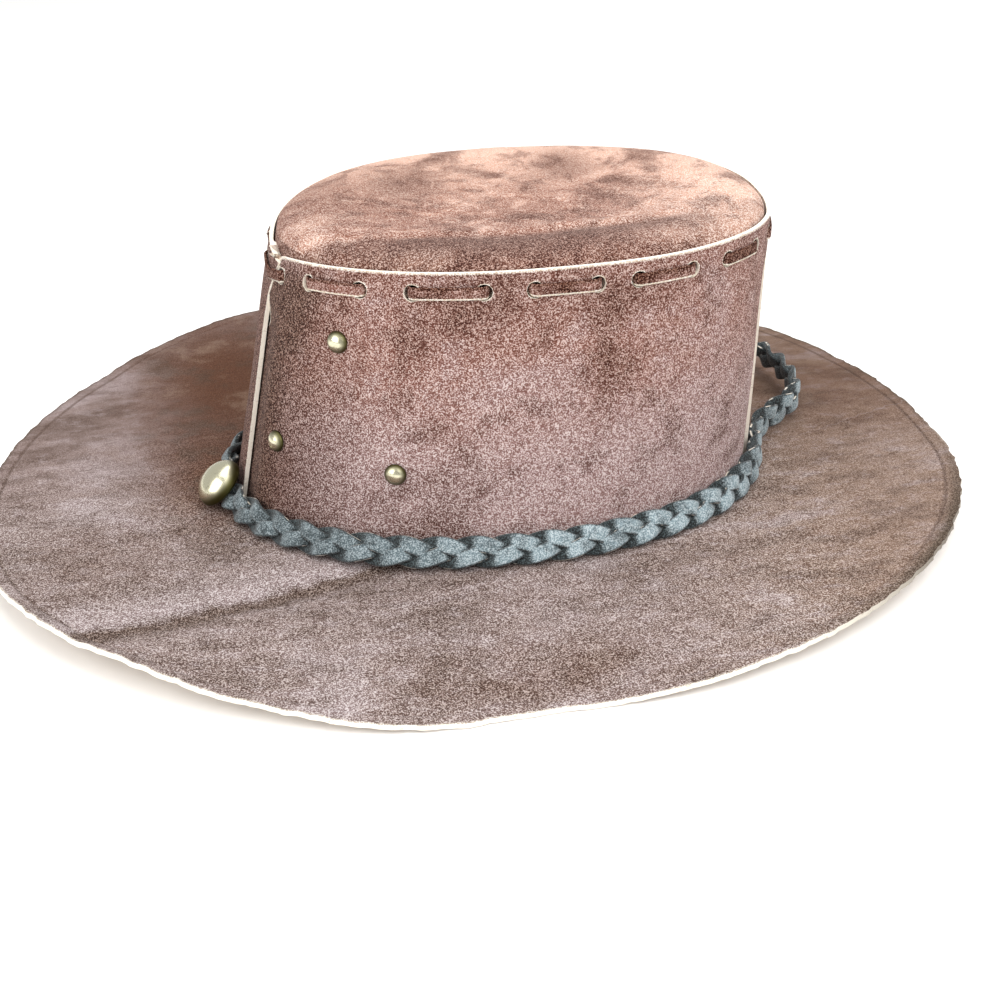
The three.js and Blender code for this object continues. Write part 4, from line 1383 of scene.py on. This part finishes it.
def turned(profile, steps, rim_radius):
    """Spins a profile of radius and height pairs round Z and closes it."""
    bm = bmesh.new()
    rim = bm.verts.layers.float.new("rim")
    verts = [bm.verts.new((radius, 0, height)) for radius, height in profile]
    edges = [bm.edges.new(pair) for pair in zip(verts, verts[1:])]
    bmesh.ops.spin(
        bm, geom=verts + edges, cent=(0, 0, 0), axis=(0, 0, 1), angle=FULL_TURN, steps=steps, use_merge=True
    )
    bmesh.ops.remove_doubles(bm, verts=bm.verts, dist=MERGE_DISTANCE)
    bmesh.ops.recalc_face_normals(bm, faces=bm.faces)
    for vert in bm.verts:
        vert[rim] = math.hypot(vert.co.x, vert.co.y) / rim_radius
    return bm


def dome(radius, foot, rise, steps, first=0):
    """Profile of a dome from its foot to its top."""
    for i in range(first, steps + 1):
        bend = i / steps * math.pi / 2
        yield radius * math.cos(bend) * (i < steps), foot + rise * math.sin(bend)


class HAT_OT_button(bpy.types.Operator):
    """Make the domed button that closes the band at the front"""

    bl_idname = "hat.button"
    bl_label = "Button"

    DOME_STEPS = 14
    STEPS = 64
    # Flat back and rounded foot, as shares of the radius and of the edge's height
    FOOT = ((0, 0), (0.86, 0), (0.97, 0.2), (1, 0.6))

    def execute(self, context):
        scene, crown = hat_settings(context)
        sizes = scene.hat_metal
        band = Band(crown, scene.hat_band)
        radius = sizes.button_radius
        profile = [(radius * out, sizes.button_edge * up) for out, up in self.FOOT]
        profile += dome(radius, sizes.button_edge, sizes.button_dome, self.DOME_STEPS)
        bm = turned(profile, self.STEPS, radius)
        place = band.frame(sizes.button_turn)
        place = place @ Matrix.Rotation(-sizes.button_tilt, 4, "X")
        place = place @ Matrix.Translation((0, 0, sizes.button_raise))
        bmesh.ops.transform(bm, matrix=place, verts=bm.verts)
        finish = aged_brass("button metal", scene.hat_colours, 0.22, 0.82)
        piece_from("domed_button", bm, [finish], "button_metal", "button")
        return {"FINISHED"}


class HAT_OT_studs(bpy.types.Operator):
    """Make the domed studs on both sides of the crown"""

    bl_idname = "hat.studs"
    bl_label = "Studs"

    DOME_STEPS = 10
    STEPS = 40
    # Rivet head inside, and lip round the dome with its foot and the dome as shares of its radius
    HEAD_THICKNESS = 0.0006
    LIP = 0.0004
    LIP_FOOT = 0.93
    DOME_SHARE = 0.96

    def execute(self, context):
        scene, crown = hat_settings(context)
        sizes = scene.hat_metal
        finish = aged_brass("stud metal", scene.hat_colours, 0.2, 0.35)
        inside = -(crown.fit + crown.wall + crown.fit)
        radius = sizes.stud_radius
        for name, angle, height in stud_places(crown):
            profile = [
                (0, inside - self.HEAD_THICKNESS),
                (sizes.stud_back * 0.9, inside - self.HEAD_THICKNESS),
                (sizes.stud_back, inside - self.HEAD_THICKNESS / 2),
                (sizes.stud_back, inside),
                (sizes.stud_post, inside),
                (sizes.stud_post, 0),
                (radius * self.LIP_FOOT, 0),
                (radius, self.LIP),
                *dome(radius * self.DOME_SHARE, self.LIP, sizes.stud_dome - self.LIP, self.DOME_STEPS, 1),
            ]
            bm = turned(profile, self.STEPS, radius)
            place = crown.frame(angle, height) @ Matrix.Translation((0, 0, crown.fit))
            bmesh.ops.transform(bm, matrix=place, verts=bm.verts)
            piece_from(f"domed_stud_{name}", bm, [finish], "stud_metal", f"stud_{name}")
        return {"FINISHED"}


class HAT_OT_stage(bpy.types.Operator):
    """Set up the floor, the soft lights and the camera"""

    bl_idname = "hat.stage"
    bl_label = "Stage"

    # Soft lights: name, place, width and power
    LIGHTS = (
        ("key", (0.55, -0.9, 1.0), 1.1, 12.5),
        ("overhead", (0.15, 0.15, 1.4), 1.6, 14.0),
        ("fill", (-1.0, -0.6, 0.7), 1.2, 12.0),
    )
    TARGET = Vector((0.01122, -0.00667, -0.01583))
    CAMERA_TURN = math.radians(-9.48)
    CAMERA_RISE = math.radians(28.75)
    CAMERA_ROLL = math.radians(-1.02)
    CAMERA_DISTANCE = 0.63166
    CAMERA_LENS = 54.97
    SENSOR_WIDTH = 36
    FLOOR_SIZE = 4
    FLOOR_DROP = 0.0004
    WORLD_STRENGTH = 0.62

    def execute(self, context):
        scene = context.scene
        bm = bmesh.new()
        bmesh.ops.create_grid(bm, x_segments=8, y_segments=8, size=self.FLOOR_SIZE)
        mesh = bpy.data.meshes.new("floor")
        bm.to_mesh(mesh)
        bm.free()
        finish = Finish("floor")
        mesh.materials.append(finish.done(scene.hat_colours.floor, Roughness=0.9))
        floor = bpy.data.objects.new("floor", mesh)
        floor.location.z = -self.FLOOR_DROP
        scene.collection.objects.link(floor)
        for name, place, size, power in self.LIGHTS:
            light = bpy.data.lights.new(name, "AREA")
            light.size = size
            light.energy = power
            lamp = bpy.data.objects.new(name, light)
            lamp.location = place
            lamp.rotation_euler = (-Vector(place)).to_track_quat("-Z", "Y").to_euler()
            scene.collection.objects.link(lamp)
        world = bpy.data.worlds.new("studio")
        world.use_nodes = True
        background = world.node_tree.nodes["Background"]
        background.inputs["Color"].default_value = (1, 1, 1, 1)
        background.inputs["Strength"].default_value = self.WORLD_STRENGTH
        scene.world = world
        scene.view_settings.view_transform = "Standard"
        self.camera(scene)
        return {"FINISHED"}

    def camera(self, scene):
        """Sets the camera where the photograph was taken from."""
        rise = self.CAMERA_RISE
        side = math.sin(self.CAMERA_TURN) * math.cos(rise)
        back = Vector((side, -math.cos(self.CAMERA_TURN) * math.cos(rise), math.sin(rise)))
        right = Vector((0, 0, 1)).cross(back).normalized()
        up = back.cross(right)
        level = right * math.cos(self.CAMERA_ROLL) + up * math.sin(self.CAMERA_ROLL)
        data = bpy.data.cameras.new("camera")
        data.sensor_width = self.SENSOR_WIDTH
        data.lens = self.CAMERA_LENS
        data.clip_start = 0.01
        camera = bpy.data.objects.new("camera", data)
        place = self.TARGET + back * self.CAMERA_DISTANCE
        camera.matrix_world = axes(place, level, back.cross(level), back)
        scene.collection.objects.link(camera)
        scene.camera = camera


class HAT_PT_sidebar(bpy.types.Panel):
    """Lists the operators and their settings"""

    bl_idname = "HAT_PT_sidebar"
    bl_label = "Leather hat"
    bl_space_type = "VIEW_3D"
    bl_region_type = "UI"
    bl_category = "Hat"

    def draw(self, context):
        for operator in OPERATORS:
            self.layout.operator(operator.bl_idname)
        for key, group in SETTINGS.items():
            box = self.layout.box()
            box.label(text=group.__doc__)
            for name in group.__annotations__:
                box.prop(getattr(context.scene, key), name)


OPERATORS = (
    HAT_OT_stage,
    HAT_OT_brim,
    HAT_OT_panels,
    HAT_OT_top,
    HAT_OT_lace,
    HAT_OT_band,
    HAT_OT_button,
    HAT_OT_studs,
)


def register():
    for group in (*SETTINGS.values(), *OPERATORS, HAT_PT_sidebar):
        bpy.utils.register_class(group)
    for key, group in SETTINGS.items():
        setattr(bpy.types.Scene, key, PointerProperty(type=group))


def unregister():
    for key in SETTINGS:
        delattr(bpy.types.Scene, key)
    for group in reversed((*SETTINGS.values(), *OPERATORS, HAT_PT_sidebar)):
        bpy.utils.unregister_class(group)


def main():
    register()
    bpy.ops.hat.stage()
    bpy.ops.hat.brim()
    bpy.ops.hat.panels()
    bpy.ops.hat.top()
    bpy.ops.hat.lace()
    bpy.ops.hat.band()
    bpy.ops.hat.button()
    bpy.ops.hat.studs()


if __name__ == "__main__":
    main()
